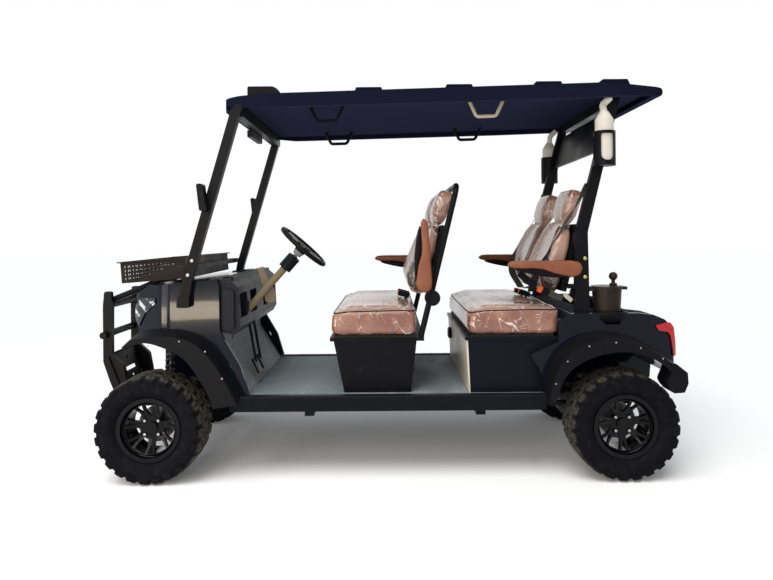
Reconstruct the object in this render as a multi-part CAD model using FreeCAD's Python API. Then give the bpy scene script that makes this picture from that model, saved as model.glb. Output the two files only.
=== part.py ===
import FreeCAD
import Part
import math
import os

# Golf cart with four seats, standing on its wheels. Millimetres.
# +X is the way it drives, +Y is its left side, +Z is up, and the floor is at Z = 0.
# The origin lies on the floor under the middle of the whole cart.

# Wheels and axles
wheelbase = 2490.0
front_axle_x = 1186.0
rear_axle_x = front_axle_x - wheelbase
track = 1070.0
half_track = track / 2
tyre_radius = 283.0
tyre_width = 260.0
rim_width = 204.0
rim_seat_radius = 152.0
rim_lip_radius = rim_seat_radius + 15.5
rim_wall = 6.0
rim_dish = 60.0
rim_drop = 16.0
spoke_count = 7
hub_radius = 60.0
cap_radius = 30.0
cap_height = 14.0
bolt_circle = 101.6
nut_count = 4
nut_radius = 9.0
nut_height = 9.0
hub_sleeve_radius = 34.0
spindle_radius = 20.0
drum_radius = 95.0
drum_width = 48.0

# Running clearances
pin_gap = 0.4
soft_gap = 0.3
running_gap = 6.0
ball_gap = 2.0

# Reach of cutting blocks, past every piece
beyond = 3000.0

# Steering
kingpin_y = half_track - 105
kingpin_radius = 12.0
knuckle_radius = 22.0
knuckle_low_z = 228.0
knuckle_high_z = 338.0
steering_arm = 95.0
steering_arm_z = 258.0
tie_rod_radius = 8.0
rack_radius = 12.0
rack_housing_length = 300.0
steering_wheel_radius = 165.0
steering_wheel_grip = 13.0
wheel_hub_radius = 44.0
steering_wheel_x = 415.0
steering_wheel_z = 1229.0
steering_column_lean = 48.0
column_radius = 21.0

# Frame
rail_y = 185.0
rail_width = 50.0
rail_low_z = 300.0
rail_high_z = 380.0
rail_front_x = 1460.0
rail_rear_x = -1500.0
rear_kick = 120.0
axle_tube_radius = 38.0
leaf_width = 50.0
leaf_y = half_track - tyre_width / 2 - 50 - leaf_width / 2
leaf_thickness = 7.0
leaf_count = 3
leaf_front_span = 640.0
leaf_rear_span = 250.0
subframe_half = 70.0
hanger_gap = 3.0
tower_z = 640.0
tower_thickness = 12.0
tower_width = 60.0
tower_reach = 70.0
spring_foot_y = kingpin_y - 85
spring_top_y = rail_y + rail_width / 2 + 52
spring_foot_z = 250.0

# Floor and sills
floor_top_z = 434.0
mat_thickness = 6.0
deck_half_width = half_track + 20
deck_rear_x = -962.0
toe_foot_x = 692.0
toe_top_x = 836.0
toe_top_z = 668.0
sill_outer_y = deck_half_width + 45
sill_low_z = 362.0
sill_high_z = 446.0
sill_front_x = 770.0
sill_rear_x = -900.0

# Front body
cowl_half_width = deck_half_width + 10
dash_half_width = cowl_half_width - 20
cowl_wall = 5.0
cowl_rear_x = 836.0
hood_rear_z = 1062.0
hood_front_x = 1237.0
hood_front_z = 1026.0
nose_x = 1352.0
front_arch_radius = 440.0
well_inner_y = rail_y + rail_width / 2 + 5
flare_outer_y = half_track + tyre_width / 2 + 15
flare_wall = 8.0
flare_slope = 26.0
arch_opening = 60.0
strip_rise = 9.0
vent_slats = 5
dash_rear_x = 722.0
pod_rise = 16.0
ledge_count = 3

# Side views of the flares: the upper edge against the body and the arch's edge over the tyre
front_flare_top = [
    (1300, 752), (1240, 790), (1159, 802), (1013, 796), (919, 757), (842, 675), (774, 570), (712, 449)]
front_flare_arch = [
    (1296, 712), (1240, 735), (1186, 745), (1099, 724), (1013, 684), (945, 618), (893, 537), (852, 459), (838, 405)]
rear_flare_top = [
    (-899, 458), (-924, 577), (-985, 679), (-1092, 754), (-1229, 774), (-1366, 742), (-1469, 688), (-1556, 628)]
rear_flare_arch = [
    (-926, 420), (-945, 473), (-990, 567), (-1080, 634), (-1200, 674), (-1330, 676), (-1440, 640), (-1536, 560)]

# Outlines below are lists of (x, z, corner radius)

# Side view of the tan bracket beside the steering column
bracket_outline = [
    (686, 1104, 3), (659, 1114, 3), (622, 1030, 30), (586, 968, 20), (588, 908, 16), (640, 908, 16),
    (652, 1000, 40)]

# Side view of a headlight
headlight_outline = [
    (1182, 962, 6), (1290, 956, 14), (1336, 905, 10), (1342, 850, 6), (1306, 800, 4), (1262, 872, 20),
    (1186, 930, 10)]

# Side view of a tail light, wide of the body at its rear
tail_light_outline = [
    (-1494, 800, 0), (-1560, 812, 20), (-1640, 812, 0), (-1640, 632, 0), (-1598, 632, 0), (-1582, 736, 10),
    (-1566, 762, 10), (-1510, 772, 0)]

# Side view of the heel of a rear flare
heel_outline = [
    (-1546, 620, 6), (-1606, 572, 8), (-1610, 517, 8), (-1590, 470, 8), (-1528, 466, 8), (-1500, 520, 20)]

# Side view of the housing on the roof
pod_outline = [
    (738, 2000, 0), (738, 2160, 10), (577, 2160, 60), (508, 2076, 40), (500, 2000, 0)]

# Side view of a side mirror
mirror_outline = [
    (868, 1424, 12), (902, 1424, 10), (918, 1565, 10), (884, 1565, 14)]

# Roof and posts
roof_half_width = cowl_half_width + 47
roof_front_x = 880.0
roof_rear_x = -1572.0
roof_front_z = 2036.0
roof_rear_z = 2084.0
roof_liner_depth = 45.0
roof_rim = 38.0
rib_rise = 22.0
rib_inset = 30.0
pod_reach = 260.0
handle_y = roof_half_width - 182
handle_half = 54.0
handle_splay = 40.0
handle_drop = 78.0
handle_radius = 10.0
post_width = 50.0
front_post_inner_y = cowl_half_width
front_post_depth = 40.0
front_post_foot_x = 980.0
front_post_foot_z = 1089.0
front_post_top_x = 737.0
front_post_top_z = 1912.0
rear_post_y = deck_half_width - 55
rear_post_depth = 32.0
rear_post_x = -1119.0
rear_post_foot_width = 78.0
rear_post_bend_z = 1320.0
rear_post_top_x = -1265.0
rear_post_top_z = 1885.0

# Seats
row_pitch = 735.0
seat_top_z = 742.0
cushion_half_width = deck_half_width + 5
cushion_low_z = 757.0
cushion_high_z = 900.0
cushion_front_x = 235.0
cushion_rear_x = -231.0
pod_half_width = cushion_half_width - 40
pod_wall = 6.0
plug_x = 90.0
plug_z = 567.0
plug_radius = 33.0
plug_rise = 9.0
recline = 13.9
back_foot_x = -264.0
back_foot_z = 813.0
hoop_y = rear_post_y
back_pad_width = hoop_y - 48
back_pad_y = hoop_y / 2 - 4
hoop_radius = 16.0
hoop_height = 770.0
head_half_width = 142.0
cross_radius = 12.0
arm_inner_y = hoop_y + hoop_radius + running_gap
arm_width = 54.0
arm_pivot_x = -253.0
arm_pivot_z = 1099.0
arm_pin_radius = 8.0
arm_fold = 86.0
retractor_radius = 42.0
retractor_width = 42.0
buckle_y = 62.0
steering_column_y = back_pad_y + 44

# Rear body
rear_body_half_width = deck_half_width + 5
rear_body_front_x = -976.0
rear_body_top_z = 866.0
rear_arch_radius = 385.0
rear_tail_x = -1616.0
deck_well_half_width = rear_body_half_width - 180
deck_well_z = 700.0
washer_x = -1262.0
washer_y = rear_body_half_width - 82
washer_sink = 60.0
washer_foot_z = 856.0
washer_seat_radius = 92.0
washer_knob_back = 36.0
heel_gap = 14.0
holder_radius = 57.0
holder_low_z = 1650.0
holder_high_z = 1832.0

# Bull bar and basket
bull_front_x = 1606.0
bull_tube_radius = 16.0
bull_frame_y = rail_y + 15
guard_upright = 54.0
guard_ear_z = 972.0
skid_low_x = 1503.0
skid_low_z = 398.0
skid_high_x = 1576.0
skid_high_z = 590.0
skid_half_width = bull_frame_y + 30
skid_thickness = 6.0
skid_hole_radius = 11.0
skid_hole_rows = (0.22, 0.78)
basket_front_x = 1396.0
basket_rear_x = 1036.0
basket_half_width = cowl_half_width - 115
basket_low_z = 1062.0
basket_depth = 118.0
basket_tilt = 4.0
basket_wall = 3.0
basket_hole = 13.0
basket_pitch = 22.0
basket_hole_rows = 4
basket_hole_columns = 13


def at(x, y, z):
    return FreeCAD.Vector(x, y, z)


def block(x0, x1, y0, y1, z0, z1):
    """Box between two corners."""
    return Part.makeBox(x1 - x0, y1 - y0, z1 - z0, at(x0, y0, z0))


def rod(start, end, radius):
    """Round bar from one point to another."""
    axis = end.sub(start)
    return Part.makeCylinder(radius, axis.Length, start, axis)


def ring(start, end, radius, bore):
    """Round sleeve from one point to another, with a bore right through."""
    return rod(start, end, radius).cut(rod(start, end, bore))


def rounded_wire(corners, place):
    """Closed outline through (u, v, radius) corners, each turned by a tangent arc."""
    edges = []
    starts = []
    ends = []
    count = len(corners)
    for i, (u, v, radius) in enumerate(corners):
        here = FreeCAD.Vector(u, v, 0)
        before = FreeCAD.Vector(corners[i - 1][0], corners[i - 1][1], 0).sub(here).normalize()
        after_point = corners[(i + 1) % count]
        after = FreeCAD.Vector(after_point[0], after_point[1], 0).sub(here).normalize()
        if radius <= 0:
            starts.append(here)
            ends.append(here)
            edges.append(None)
            continue
        half = before.getAngle(after) / 2
        reach = radius / math.tan(half)
        middle = before.add(after).normalize().multiply(radius / math.sin(half) - radius)
        starts.append(here.add(before.multiply(reach)))
        ends.append(here.add(after.multiply(reach)))
        edges.append(here.add(middle))
    lines = []
    for i in range(count):
        if edges[i] is not None:
            bend = [place(p.x, p.y) for p in (starts[i], edges[i], ends[i])]
            lines.append(Part.Arc(*bend).toShape())
        follow = starts[(i + 1) % count]
        if follow.sub(ends[i]).Length > 0.01:
            lines.append(Part.makeLine(place(ends[i].x, ends[i].y), place(follow.x, follow.y)))
    return Part.Wire(lines)


def side_panel(corners, y0, y1):
    """Solid between two Y planes from an outline of (x, z, radius) corners."""
    wire = rounded_wire(corners, lambda u, v: at(u, y0, v))
    return Part.Face(wire).extrude(at(0, y1 - y0, 0))


def plan_panel(corners, z0, z1):
    """Solid between two Z planes from an outline of (x, y, radius) corners."""
    wire = rounded_wire(corners, lambda u, v: at(u, v, z0))
    return Part.Face(wire).extrude(at(0, 0, z1 - z0))


def front_panel(corners, x0, x1):
    """Solid between two X planes from an outline of (y, z, radius) corners."""
    wire = rounded_wire(corners, lambda u, v: at(x0, u, v))
    return Part.Face(wire).extrude(at(x1 - x0, 0, 0))


def tube(points, radius, bend):
    """Round bar along straight runs joined by tangent arcs of one bend radius."""
    edges = []
    start = points[0]
    for i in range(1, len(points) - 1):
        here = points[i]
        back = points[i - 1].sub(here).normalize()
        ahead = points[i + 1].sub(here).normalize()
        half = back.getAngle(ahead) / 2
        reach = bend / math.tan(half)
        middle = FreeCAD.Vector(back).add(ahead).normalize().multiply(bend / math.sin(half) - bend)
        arc_start = here.add(FreeCAD.Vector(back).multiply(reach))
        arc_end = here.add(FreeCAD.Vector(ahead).multiply(reach))
        edges.append(Part.makeLine(start, arc_start))
        edges.append(Part.Arc(arc_start, here.add(middle), arc_end).toShape())
        start = arc_end
    edges.append(Part.makeLine(start, points[-1]))
    first = points[1].sub(points[0])
    section = Part.Wire(Part.makeCircle(radius, points[0], first))
    return Part.Wire(edges).makePipeShell([section], True, True)


def mirrored(shape):
    """The same piece on the other side of the cart."""
    return shape.mirror(at(0, 0, 0), at(0, 1, 0))


def pair(shape):
    """A piece and its mirror image."""
    return [shape, mirrored(shape)]


def joined(shapes):
    """One solid from pieces that are welded or moulded together."""
    whole = shapes[0]
    for shape in shapes[1:]:
        whole = whole.fuse(shape)
    return whole.removeSplitter()


def save(name, shapes):
    """Write one node."""
    shape = shapes[0] if len(shapes) == 1 else Part.makeCompound(shapes)
    shape.exportStep("parts/" + name + ".step")


def turned(shape, angle, x, z):
    """Turn a shape about an axis along Y, positive lifting the front."""
    copy = shape.copy()
    copy.rotate(at(x, 0, z), at(0, -1, 0), angle)
    return copy


# Wheels
def spin(profile, axle_x, wheel_y, side):
    """Revolve (across, radius) corners about the axle; across grows outboard."""
    place = lambda u, r: at(axle_x, wheel_y + side * u, tyre_radius + r)
    face = Part.Face(rounded_wire(profile, place))
    return face.revolve(at(axle_x, wheel_y, tyre_radius), at(0, 1, 0), 360)


def tyre(axle_x, side):
    half = tyre_width / 2
    bead = rim_width / 2 - 8 - soft_gap
    base = rim_seat_radius + soft_gap
    flank = rim_lip_radius + 4
    profile = [
        (-bead, base, 0),
        (bead, base, 0),
        (bead, flank, 0),
        (half, flank + 18, 30),
        (half, tyre_radius - 28, 30),
        (half - 24, tyre_radius, 14),
        (24 - half, tyre_radius, 14),
        (-half, tyre_radius - 28, 30),
        (-half, flank + 18, 30),
        (-bead, flank, 0),
    ]
    return spin(profile, axle_x, side * half_track, side)


def rim(axle_x, side):
    half = rim_width / 2
    wall = rim_wall
    drop = rim_seat_radius - rim_drop
    seat = rim_seat_radius - wall
    barrel = spin([
        (half, rim_lip_radius, 0),
        (half - 8, rim_lip_radius, 0),
        (half - 8, rim_seat_radius, 0),
        (half - 34, rim_seat_radius, 0),
        (half - 48, drop, 0),
        (48 - half, drop, 0),
        (34 - half, rim_seat_radius, 0),
        (8 - half, rim_seat_radius, 0),
        (8 - half, rim_lip_radius, 0),
        (-half, rim_lip_radius, 0),
        (-half, seat, 0),
        (30 - half, seat, 0),
        (44 - half, drop - wall, 0),
        (half - 44, drop - wall, 0),
        (half - 30, seat, 0),
        (half, seat, 0),
    ], axle_x, side * half_track, side)
    face = half - rim_dish
    elbow = (hub_radius + drop) / 2
    disc = spin([
        (face, 0, 0),
        (face, hub_radius, 0),
        (face + 16, elbow, 0),
        (half - 26, drop - 2, 0),
        (half - 46, drop - 2, 0),
        (face - 6, elbow, 0),
        (face - 20, hub_radius, 0),
        (face - 20, 0, 0),
    ], axle_x, side * half_track, side)
    centre = at(axle_x, side * half_track, tyre_radius)
    sleeve = rod(centre.add(at(0, side * (4 - drum_width / 2), 0)), centre.add(at(0, side * (face - 10), 0)),
                 hub_sleeve_radius)
    bore = rod(centre.add(at(0, -side * half, 0)), centre.add(at(0, side * (face - 14), 0)),
               spindle_radius + pin_gap)
    cap = rod(centre.add(at(0, side * (face - 2), 0)), centre.add(at(0, side * (face + cap_height), 0)), cap_radius)
    whole = joined([barrel, disc, sleeve, cap] + wheel_nuts(axle_x, side)).cut(bore)
    return whole.cut(Part.makeCompound(spoke_windows(axle_x, side)))


def wheel_nuts(axle_x, side):
    """Nuts on the bolt circle, in a square about the hub."""
    face = side * (half_track + rim_width / 2 - rim_dish)
    nuts = []
    for i in range(nut_count):
        angle = math.radians((i + 0.5) * 360 / nut_count)
        x = axle_x + bolt_circle / 2 * math.cos(angle)
        z = tyre_radius + bolt_circle / 2 * math.sin(angle)
        nuts.append(rod(at(x, face - side * 2, z), at(x, face + side * nut_height, z), nut_radius))
    return nuts


def spoke_windows(axle_x, side):
    """Wide openings between the split spokes and the long one inside each split."""
    step = 360.0 / spoke_count
    root = hub_radius + 3
    edge = rim_seat_radius - rim_drop - 4
    windows = []

    def corner(radius, degrees, bend):
        angle = math.radians(degrees)
        return (axle_x + radius * math.sin(angle), tyre_radius + radius * math.cos(angle), bend)

    for i in range(spoke_count):
        middle = i * step
        wide = [
            corner(root, middle - 8, 3),
            corner(root, middle + 8, 3),
            corner((root + edge) / 2, middle + 15.5, 20),
            corner(edge, middle + 14, 6),
            corner(edge, middle - 14, 6),
            corner((root + edge) / 2, middle - 15.5, 20),
        ]
        narrow = [
            corner(root + (edge - root) * 0.30, middle + step / 2, 0),
            corner(edge, middle + step / 2 + 7, 3),
            corner(edge, middle + step / 2 - 7, 3),
        ]
        y0 = side * half_track
        y1 = y0 + side * rim_width / 2
        windows.append(side_panel(wide, y0, y1))
        windows.append(side_panel(narrow, y0, y1))
    return windows


def make_wheels():
    for end, axle_x in (("front", front_axle_x), ("rear", rear_axle_x)):
        for name, side in (("left", 1), ("right", -1)):
            save("tyre_" + end + "_" + name, [tyre(axle_x, side)])
            save("rim_" + end + "_" + name, [rim(axle_x, side)])


# Steering
def spindle_end_y():
    """How far out the spindle reaches inside the rim's hub."""
    return half_track + rim_width / 2 - rim_dish - 15


def drum(axle_x):
    """Brake drum behind the wheel's hub."""
    outer = half_track - drum_width / 2 + 4 - pin_gap
    return rod(at(axle_x, outer - drum_width, tyre_radius), at(axle_x, outer, tyre_radius), drum_radius)


def knuckle():
    x = front_axle_x
    y = kingpin_y
    sleeve = rod(at(x, y, knuckle_low_z), at(x, y, knuckle_high_z), knuckle_radius)
    pin = rod(at(x, y, knuckle_low_z - 22), at(x, y, knuckle_high_z + 22), kingpin_radius)
    spindle = rod(at(x, y, tyre_radius), at(x, spindle_end_y(), tyre_radius), spindle_radius)
    arm_end = x - steering_arm
    arm = plan_panel([
        (x, y - 16, 0),
        (arm_end - 14, y - 14, 12),
        (arm_end - 14, y + 14, 12),
        (x, y + 16, 0),
    ], steering_arm_z - 6, steering_arm_z + 6)
    return joined([sleeve, pin, spindle, drum(x), arm])


def tie_rods():
    x = front_axle_x - steering_arm
    z = steering_arm_z - 6 - ball_gap - 14
    bar = rod(at(x, -rack_housing_length / 2 - 70, z), at(x, rack_housing_length / 2 + 70, z), rack_radius)
    pieces = [bar]
    for side in (1, -1):
        inner = at(x, side * (rack_housing_length / 2 + 60), z)
        outer = at(x, side * kingpin_y, z)
        pieces.append(rod(inner, outer, tie_rod_radius))
        pieces.append(rod(outer.sub(at(0, 0, 14)), outer.add(at(0, 0, 14)), 13))
    return joined(pieces)


def pinion_top():
    """Top of the gear's pinion housing, where the steering shaft enters."""
    return at(front_axle_x - steering_arm - 30, 120, steering_arm_z - ball_gap + 40)


def steering_gear():
    x = front_axle_x - steering_arm
    z = steering_arm_z - 6 - ball_gap - 14
    half = rack_housing_length / 2
    housing = rod(at(x, -half, z), at(x, half, z), rack_radius + 11)
    bore = rod(at(x, -half - 1, z), at(x, half + 1, z), rack_radius + pin_gap)
    pinion = rod(at(x - 30, 120, z), pinion_top(), 22)
    hangers = [block(x - 4, x + 16, side * 120 - 15, side * 120 + 15, z, rail_low_z) for side in (1, -1)]
    return joined([housing, pinion] + hangers).cut(bore)


def column_point(along):
    """Point on the steering column, measured down from the steering wheel's centre."""
    angle = math.radians(steering_column_lean)
    return at(steering_wheel_x + along * math.cos(angle), steering_column_y,
              steering_wheel_z - along * math.sin(angle))


def steering_wheel():
    centre = column_point(0)
    up = column_point(-1).sub(centre)
    reach = steering_wheel_radius - steering_wheel_grip
    ring_part = Part.makeTorus(reach, steering_wheel_grip, centre, up)
    hub = Part.makeCone(wheel_hub_radius, wheel_hub_radius - 20, 70, column_point(-8), column_point(1).sub(centre))
    shaft = rod(column_point(60), column_point(120), 11)
    spokes = []
    for turn in (90, 210, 330):
        spoke = Part.makeBox(reach - 10, 30, 9, at(10, -15, -4))
        spoke.rotate(at(0, 0, 0), at(0, 0, 1), turn)
        spoke.rotate(at(0, 0, 0), at(0, 1, 0), steering_column_lean - 90)
        spoke.translate(centre)
        spokes.append(spoke)
    return joined([ring_part, hub, shaft] + spokes)


def column_bracket():
    """Tan plate beside the column, slender at its top and round at its foot."""
    y1 = steering_column_y - column_radius + 4
    return side_panel(bracket_outline, y1 - 34, y1)


def steering_column():
    bore = rod(column_point(60), column_point(125), 11 + pin_gap)
    tube_part = rod(column_point(74), column_point(560), column_radius)
    shroud = rod(column_point(78), column_point(165), 38)
    pieces = [tube_part, shroud, column_bracket()]
    for along in (98, 140):
        knob = column_point(along)
        pieces.append(rod(knob.add(at(0, -52, 0)), knob.add(at(0, 52, 0)), 9))
    pieces.append(rod(column_point(120), column_point(120).add(at(-20, 120, 10)), 6))
    column = joined(pieces).cut(bore)
    foot = pinion_top()
    joint = rod(foot.add(at(0, 0, pin_gap)), foot.add(at(0, 0, 26)), 15)
    return joined([column, lower_shaft(10), joint])


def make_steering():
    left = knuckle()
    save("knuckle_left", [left])
    save("knuckle_right", [mirrored(left)])
    save("tie_rods", [tie_rods()])
    save("steering_gear", [steering_gear()])
    save("steering_wheel", [steering_wheel()])
    save("steering_column", [steering_column()])


# Chassis
def rail_side_outline(x0, x1):
    """Side view of one long rail, with its step up over the rear axle."""
    low = rail_low_z
    high = rail_high_z
    kick_x = rear_axle_x + 180
    return [
        (x1, low, 0),
        (x1, high, 0),
        (kick_x + 130, high, 60),
        (kick_x, high + rear_kick, 60),
        (x0, high + rear_kick, 0),
        (x0, low + rear_kick, 0),
        (kick_x + 30, low + rear_kick, 60),
        (kick_x + 160, low, 60),
    ]


def chassis_frame():
    inner = rail_y - rail_width / 2
    outer = rail_y + rail_width / 2
    rail = side_panel(rail_side_outline(rail_rear_x, rail_front_x), inner, outer)
    pieces = pair(rail)
    for x in (rail_front_x - 60, toe_foot_x - 20, -60.0):
        pieces.append(block(x - 25, x + 25, -inner, inner, rail_low_z + 10, rail_high_z - 10))
    for x in (cushion_front_x + 120, sill_rear_x + 340):
        pieces.append(block(x - 25, x + 25, -deck_half_width, deck_half_width, rail_high_z - 50, rail_high_z))
    rear_low = rail_low_z + rear_kick
    pieces.append(block(rail_rear_x, rail_rear_x + 50, -inner, inner, rear_low, rear_low + 80))
    subframe = block(front_axle_x - subframe_half, front_axle_x + subframe_half, -outer, outer, 246, rail_low_z)
    pieces.append(subframe)
    x0 = front_axle_x - tower_width / 2
    x1 = front_axle_x + tower_width / 2
    tower = block(x0, x1, inner, outer + tower_reach, tower_z, tower_z + tower_thickness)
    stand = block(x0, x1, inner, outer, rail_high_z, tower_z)
    pieces += pair(tower) + pair(stand)
    pieces += leaf_hangers()
    return joined(pieces)


def leaf_hangers():
    """Cross tubes and eye plates that carry the rear springs."""
    front_x = rear_axle_x + leaf_front_span
    rear_x = rear_axle_x - leaf_rear_span
    low = leaf_y - leaf_width / 2 - hanger_gap
    high = leaf_y + leaf_width / 2 + hanger_gap
    front_bar = block(front_x + 22, front_x + 62, -high - 6, high + 6, rail_low_z, rail_low_z + 46)
    rear_z = rail_low_z + rear_kick
    rear_bar = block(rear_x + 70, rear_x + 110, -high - 6, high + 6, rear_z, rear_z + 25)
    plates = []
    for y in (low - 6, high):
        plates.append(block(front_x - 18, front_x + 24, y, y + 6, rail_low_z, rail_low_z + 46))
        plates.append(side_panel([
            (rear_x - 15, 385, 10),
            (rear_x + 15, 385, 10),
            (rear_x + 90, rear_z + 2, 0),
            (rear_x + 60, rear_z + 30, 0),
        ], y, y + 6))
    pieces = [front_bar, rear_bar]
    for plate in plates:
        pieces += pair(plate)
    return pieces


def leaf_spring():
    """Stack of leaves, each shorter than the one above, with rolled eyes."""
    front_x = rear_axle_x + leaf_front_span
    rear_x = rear_axle_x - leaf_rear_span
    seat_z = tyre_radius + axle_tube_radius
    y0 = leaf_y - leaf_width / 2
    y1 = leaf_y + leaf_width / 2
    eyes_z = rail_low_z + 23
    shackle_z = 400.0
    top = seat_z + leaf_count * leaf_thickness
    pieces = []
    for i in range(leaf_count):
        share = 1 - 0.25 * i
        upper = top - i * leaf_thickness
        front_end = rear_axle_x + leaf_front_span * share
        rear_end = rear_axle_x - leaf_rear_span * share
        rise_front = (eyes_z + 18 - top) * share * share
        rise_rear = (shackle_z - 12 - top) * share * share
        outline = [
            (front_end, upper + rise_front, 0),
            (rear_axle_x + 60, upper, 0),
            (rear_axle_x - 60, upper, 0),
            (rear_end, upper + rise_rear, 0),
            (rear_end, upper + rise_rear - leaf_thickness, 0),
            (rear_axle_x - 60, upper - leaf_thickness, 0),
            (rear_axle_x + 60, upper - leaf_thickness, 0),
            (front_end, upper + rise_front - leaf_thickness, 0),
        ]
        pieces.append(side_panel(outline, y0, y1))
    pieces.append(rod(at(front_x, y0, eyes_z), at(front_x, y1, eyes_z), 18))
    pieces.append(rod(at(rear_x, y0, shackle_z), at(rear_x, y1, shackle_z), 14))
    spread = leaf_width / 2 + hanger_gap
    pieces.append(rod(at(front_x, leaf_y - spread, eyes_z), at(front_x, leaf_y + spread, eyes_z), 8))
    pieces.append(rod(at(rear_x, leaf_y - spread, shackle_z), at(rear_x, leaf_y + spread, shackle_z), 7))
    return joined(pieces)


def rear_axle():
    """Axle tube, gear case, drums and the drive motor as one plain block."""
    x = rear_axle_x
    z = tyre_radius
    inner = half_track - drum_width / 2 + 4 - pin_gap - drum_width
    tube_part = rod(at(x, -inner, z), at(x, inner, z), axle_tube_radius)
    case = rod(at(x, -70, z), at(x, 70, z), 105)
    motor = rod(at(x + 150, -60, z), at(x + 150, 190, z), 82)
    bridge = block(x, x + 150, -60, 60, z - 60, z + 60)
    pieces = [tube_part, case, motor, bridge]
    for side in (1, -1):
        spindle = rod(at(x, 0, z), at(x, side * spindle_end_y(), z), spindle_radius)
        pieces.append(spindle)
    left_drum = drum(x)
    return joined(pieces + pair(left_drum))


def front_arms():
    """Upper and lower wishbones of one front wheel, with their kingpin eyes."""
    x = front_axle_x
    pieces = []
    frame_y = rail_y + rail_width / 2 + 15
    sweep = rod(at(x, kingpin_y, knuckle_low_z - pin_gap), at(x, kingpin_y, knuckle_high_z + pin_gap),
                knuckle_radius + running_gap)
    levels = [
        (knuckle_low_z - pin_gap - 20, knuckle_low_z - pin_gap, 264.0, 52.0),
        (knuckle_high_z + pin_gap, knuckle_high_z + pin_gap + 20, 352.0, 54.0),
    ]
    for low, high, pivot_z, reach in levels:
        eye = ring(at(x, kingpin_y, low), at(x, kingpin_y, high), 20, kingpin_radius + pin_gap)
        clear = rod(at(x, kingpin_y, low - 30), at(x, kingpin_y, high + 30), kingpin_radius + pin_gap)
        middle = (low + high) / 2
        legs = []
        for turn in (1, -1):
            foot = at(x + turn * reach, frame_y, pivot_z)
            legs.append(rod(foot, at(x + turn * 14, kingpin_y - 12, middle), 10))
            legs.append(rod(foot.sub(at(20, 0, 0)), foot.add(at(20, 0, 0)), 15))
        pieces.append(joined([eye] + legs).cut(clear).cut(sweep))
    seat = block(x - 30, x + 30, spring_foot_y - 18, spring_foot_y + 18, 224, spring_foot_z)
    pieces[0] = joined([pieces[0], seat])
    return pieces


def coil_over():
    """Spring and damper of one front wheel, the spring as a plain sleeve."""
    low = at(front_axle_x, spring_foot_y, spring_foot_z - 6)
    high = at(front_axle_x, spring_top_y, tower_z)
    axis = high.sub(low)
    perch = low.add(FreeCAD.Vector(axis).multiply(0.3))
    crown = low.add(FreeCAD.Vector(axis).multiply(0.93))
    body = rod(low, perch, 20)
    spring = rod(perch, crown, 34)
    stem = rod(crown, high, 12)
    below = block(low.x - 60, low.x + 60, low.y - 60, low.y + 60, low.z - 60, spring_foot_z + soft_gap)
    return joined([body, spring, stem]).cut(below)


def make_chassis():
    frame = chassis_frame()
    save("chassis_frame", [frame])
    arms = front_arms()
    save("front_wishbones", arms + [mirrored(arm) for arm in arms])
    save("front_coil_overs", pair(coil_over().cut(frame)))
    save("rear_axle", [rear_axle()])
    save("rear_leaf_springs", pair(leaf_spring().cut(frame)))
    save("battery_pack", [block(-150, 130, -300, 300, floor_top_z + mat_thickness, 690)])


# Floor
def lower_shaft(radius):
    """Shaft from the column's foot down to the steering gear."""
    return rod(column_point(555), pinion_top().add(at(0, 0, 22)), radius)


def deck_slab():
    return block(deck_rear_x, toe_foot_x, -deck_half_width, deck_half_width, rail_high_z, floor_top_z)


def floor_deck():
    thick = 14.0
    toe = side_panel([
        (toe_foot_x - 30, floor_top_z - 20, 0),
        (toe_foot_x, floor_top_z, 0),
        (toe_top_x, toe_top_z, 30),
        (toe_top_x, 780, 0),
        (toe_top_x + thick, 780, 0),
        (toe_top_x + thick, toe_top_z - 4, 30),
        (toe_foot_x + 12, rail_high_z + 20, 0),
        (toe_foot_x - 10, rail_high_z, 0),
    ], -deck_half_width, deck_half_width)
    return joined([deck_slab(), toe]).cut(lower_shaft(16))


def floor_mat():
    top = floor_top_z + mat_thickness
    return block(sill_rear_x, toe_foot_x - 4, 8 - deck_half_width, deck_half_width - 8, floor_top_z, top)


def side_sill():
    return front_panel([
        (deck_half_width, sill_low_z, 0),
        (sill_outer_y - 6, sill_low_z, 8),
        (sill_outer_y, sill_high_z, 10),
        (deck_half_width, sill_high_z, 0),
    ], sill_rear_x, sill_front_x)


def make_floor():
    save("floor_deck", [floor_deck()])
    save("floor_mat", [floor_mat()])
    save("side_sills", pair(side_sill()))


# Front body
def cowl_volume(inset):
    """Outside form of the front body, or its inside when inset by the wall."""
    side = side_panel([
        (690 - inset * 4, sill_high_z - inset, 0),
        (772, 600, 80),
        (cowl_rear_x - inset, 792, 80),
        (cowl_rear_x - inset * 4, hood_rear_z - inset, 0),
        (hood_front_x - inset, hood_front_z - inset, 60),
        (nose_x - inset, 959 - inset, 40),
        (nose_x - 14 - inset, 836, 60),
        (1289 - inset, 744, 30),
        (1289 - inset, 520, 30),
        (1180, sill_high_z - inset, 0),
    ], -cowl_half_width - 10, cowl_half_width + 10)
    width = cowl_half_width - inset
    nose = cowl_half_width - 165 - inset
    plan = plan_panel([
        (600, width, 0),
        (1120, width, 150),
        (nose_x - inset, nose, 130),
        (nose_x - inset, -nose, 130),
        (1120, -width, 150),
        (600, -width, 0),
    ], 300, 1200)
    return side.common(plan)


def wheel_well(axle_x, radius, inner_y):
    """Space round both wheels of one axle."""
    left = rod(at(axle_x, inner_y, tyre_radius), at(axle_x, beyond, tyre_radius), radius)
    return pair(left)


def side_strip():
    """Raised strip that sweeps from the hood's rear corner down to the sill, on the body's left side."""
    return side_panel([
        (cowl_rear_x - 8, hood_rear_z - 22, 6),
        (cowl_rear_x + 46, hood_rear_z - 20, 6),
        (cowl_rear_x + 40, 810, 120),
        (766, 600, 120),
        (716, 450, 0),
        (672, 450, 0),
        (716, 600, 120),
        (cowl_rear_x - 10, 790, 120),
    ], cowl_half_width - 12, cowl_half_width + strip_rise)


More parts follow.
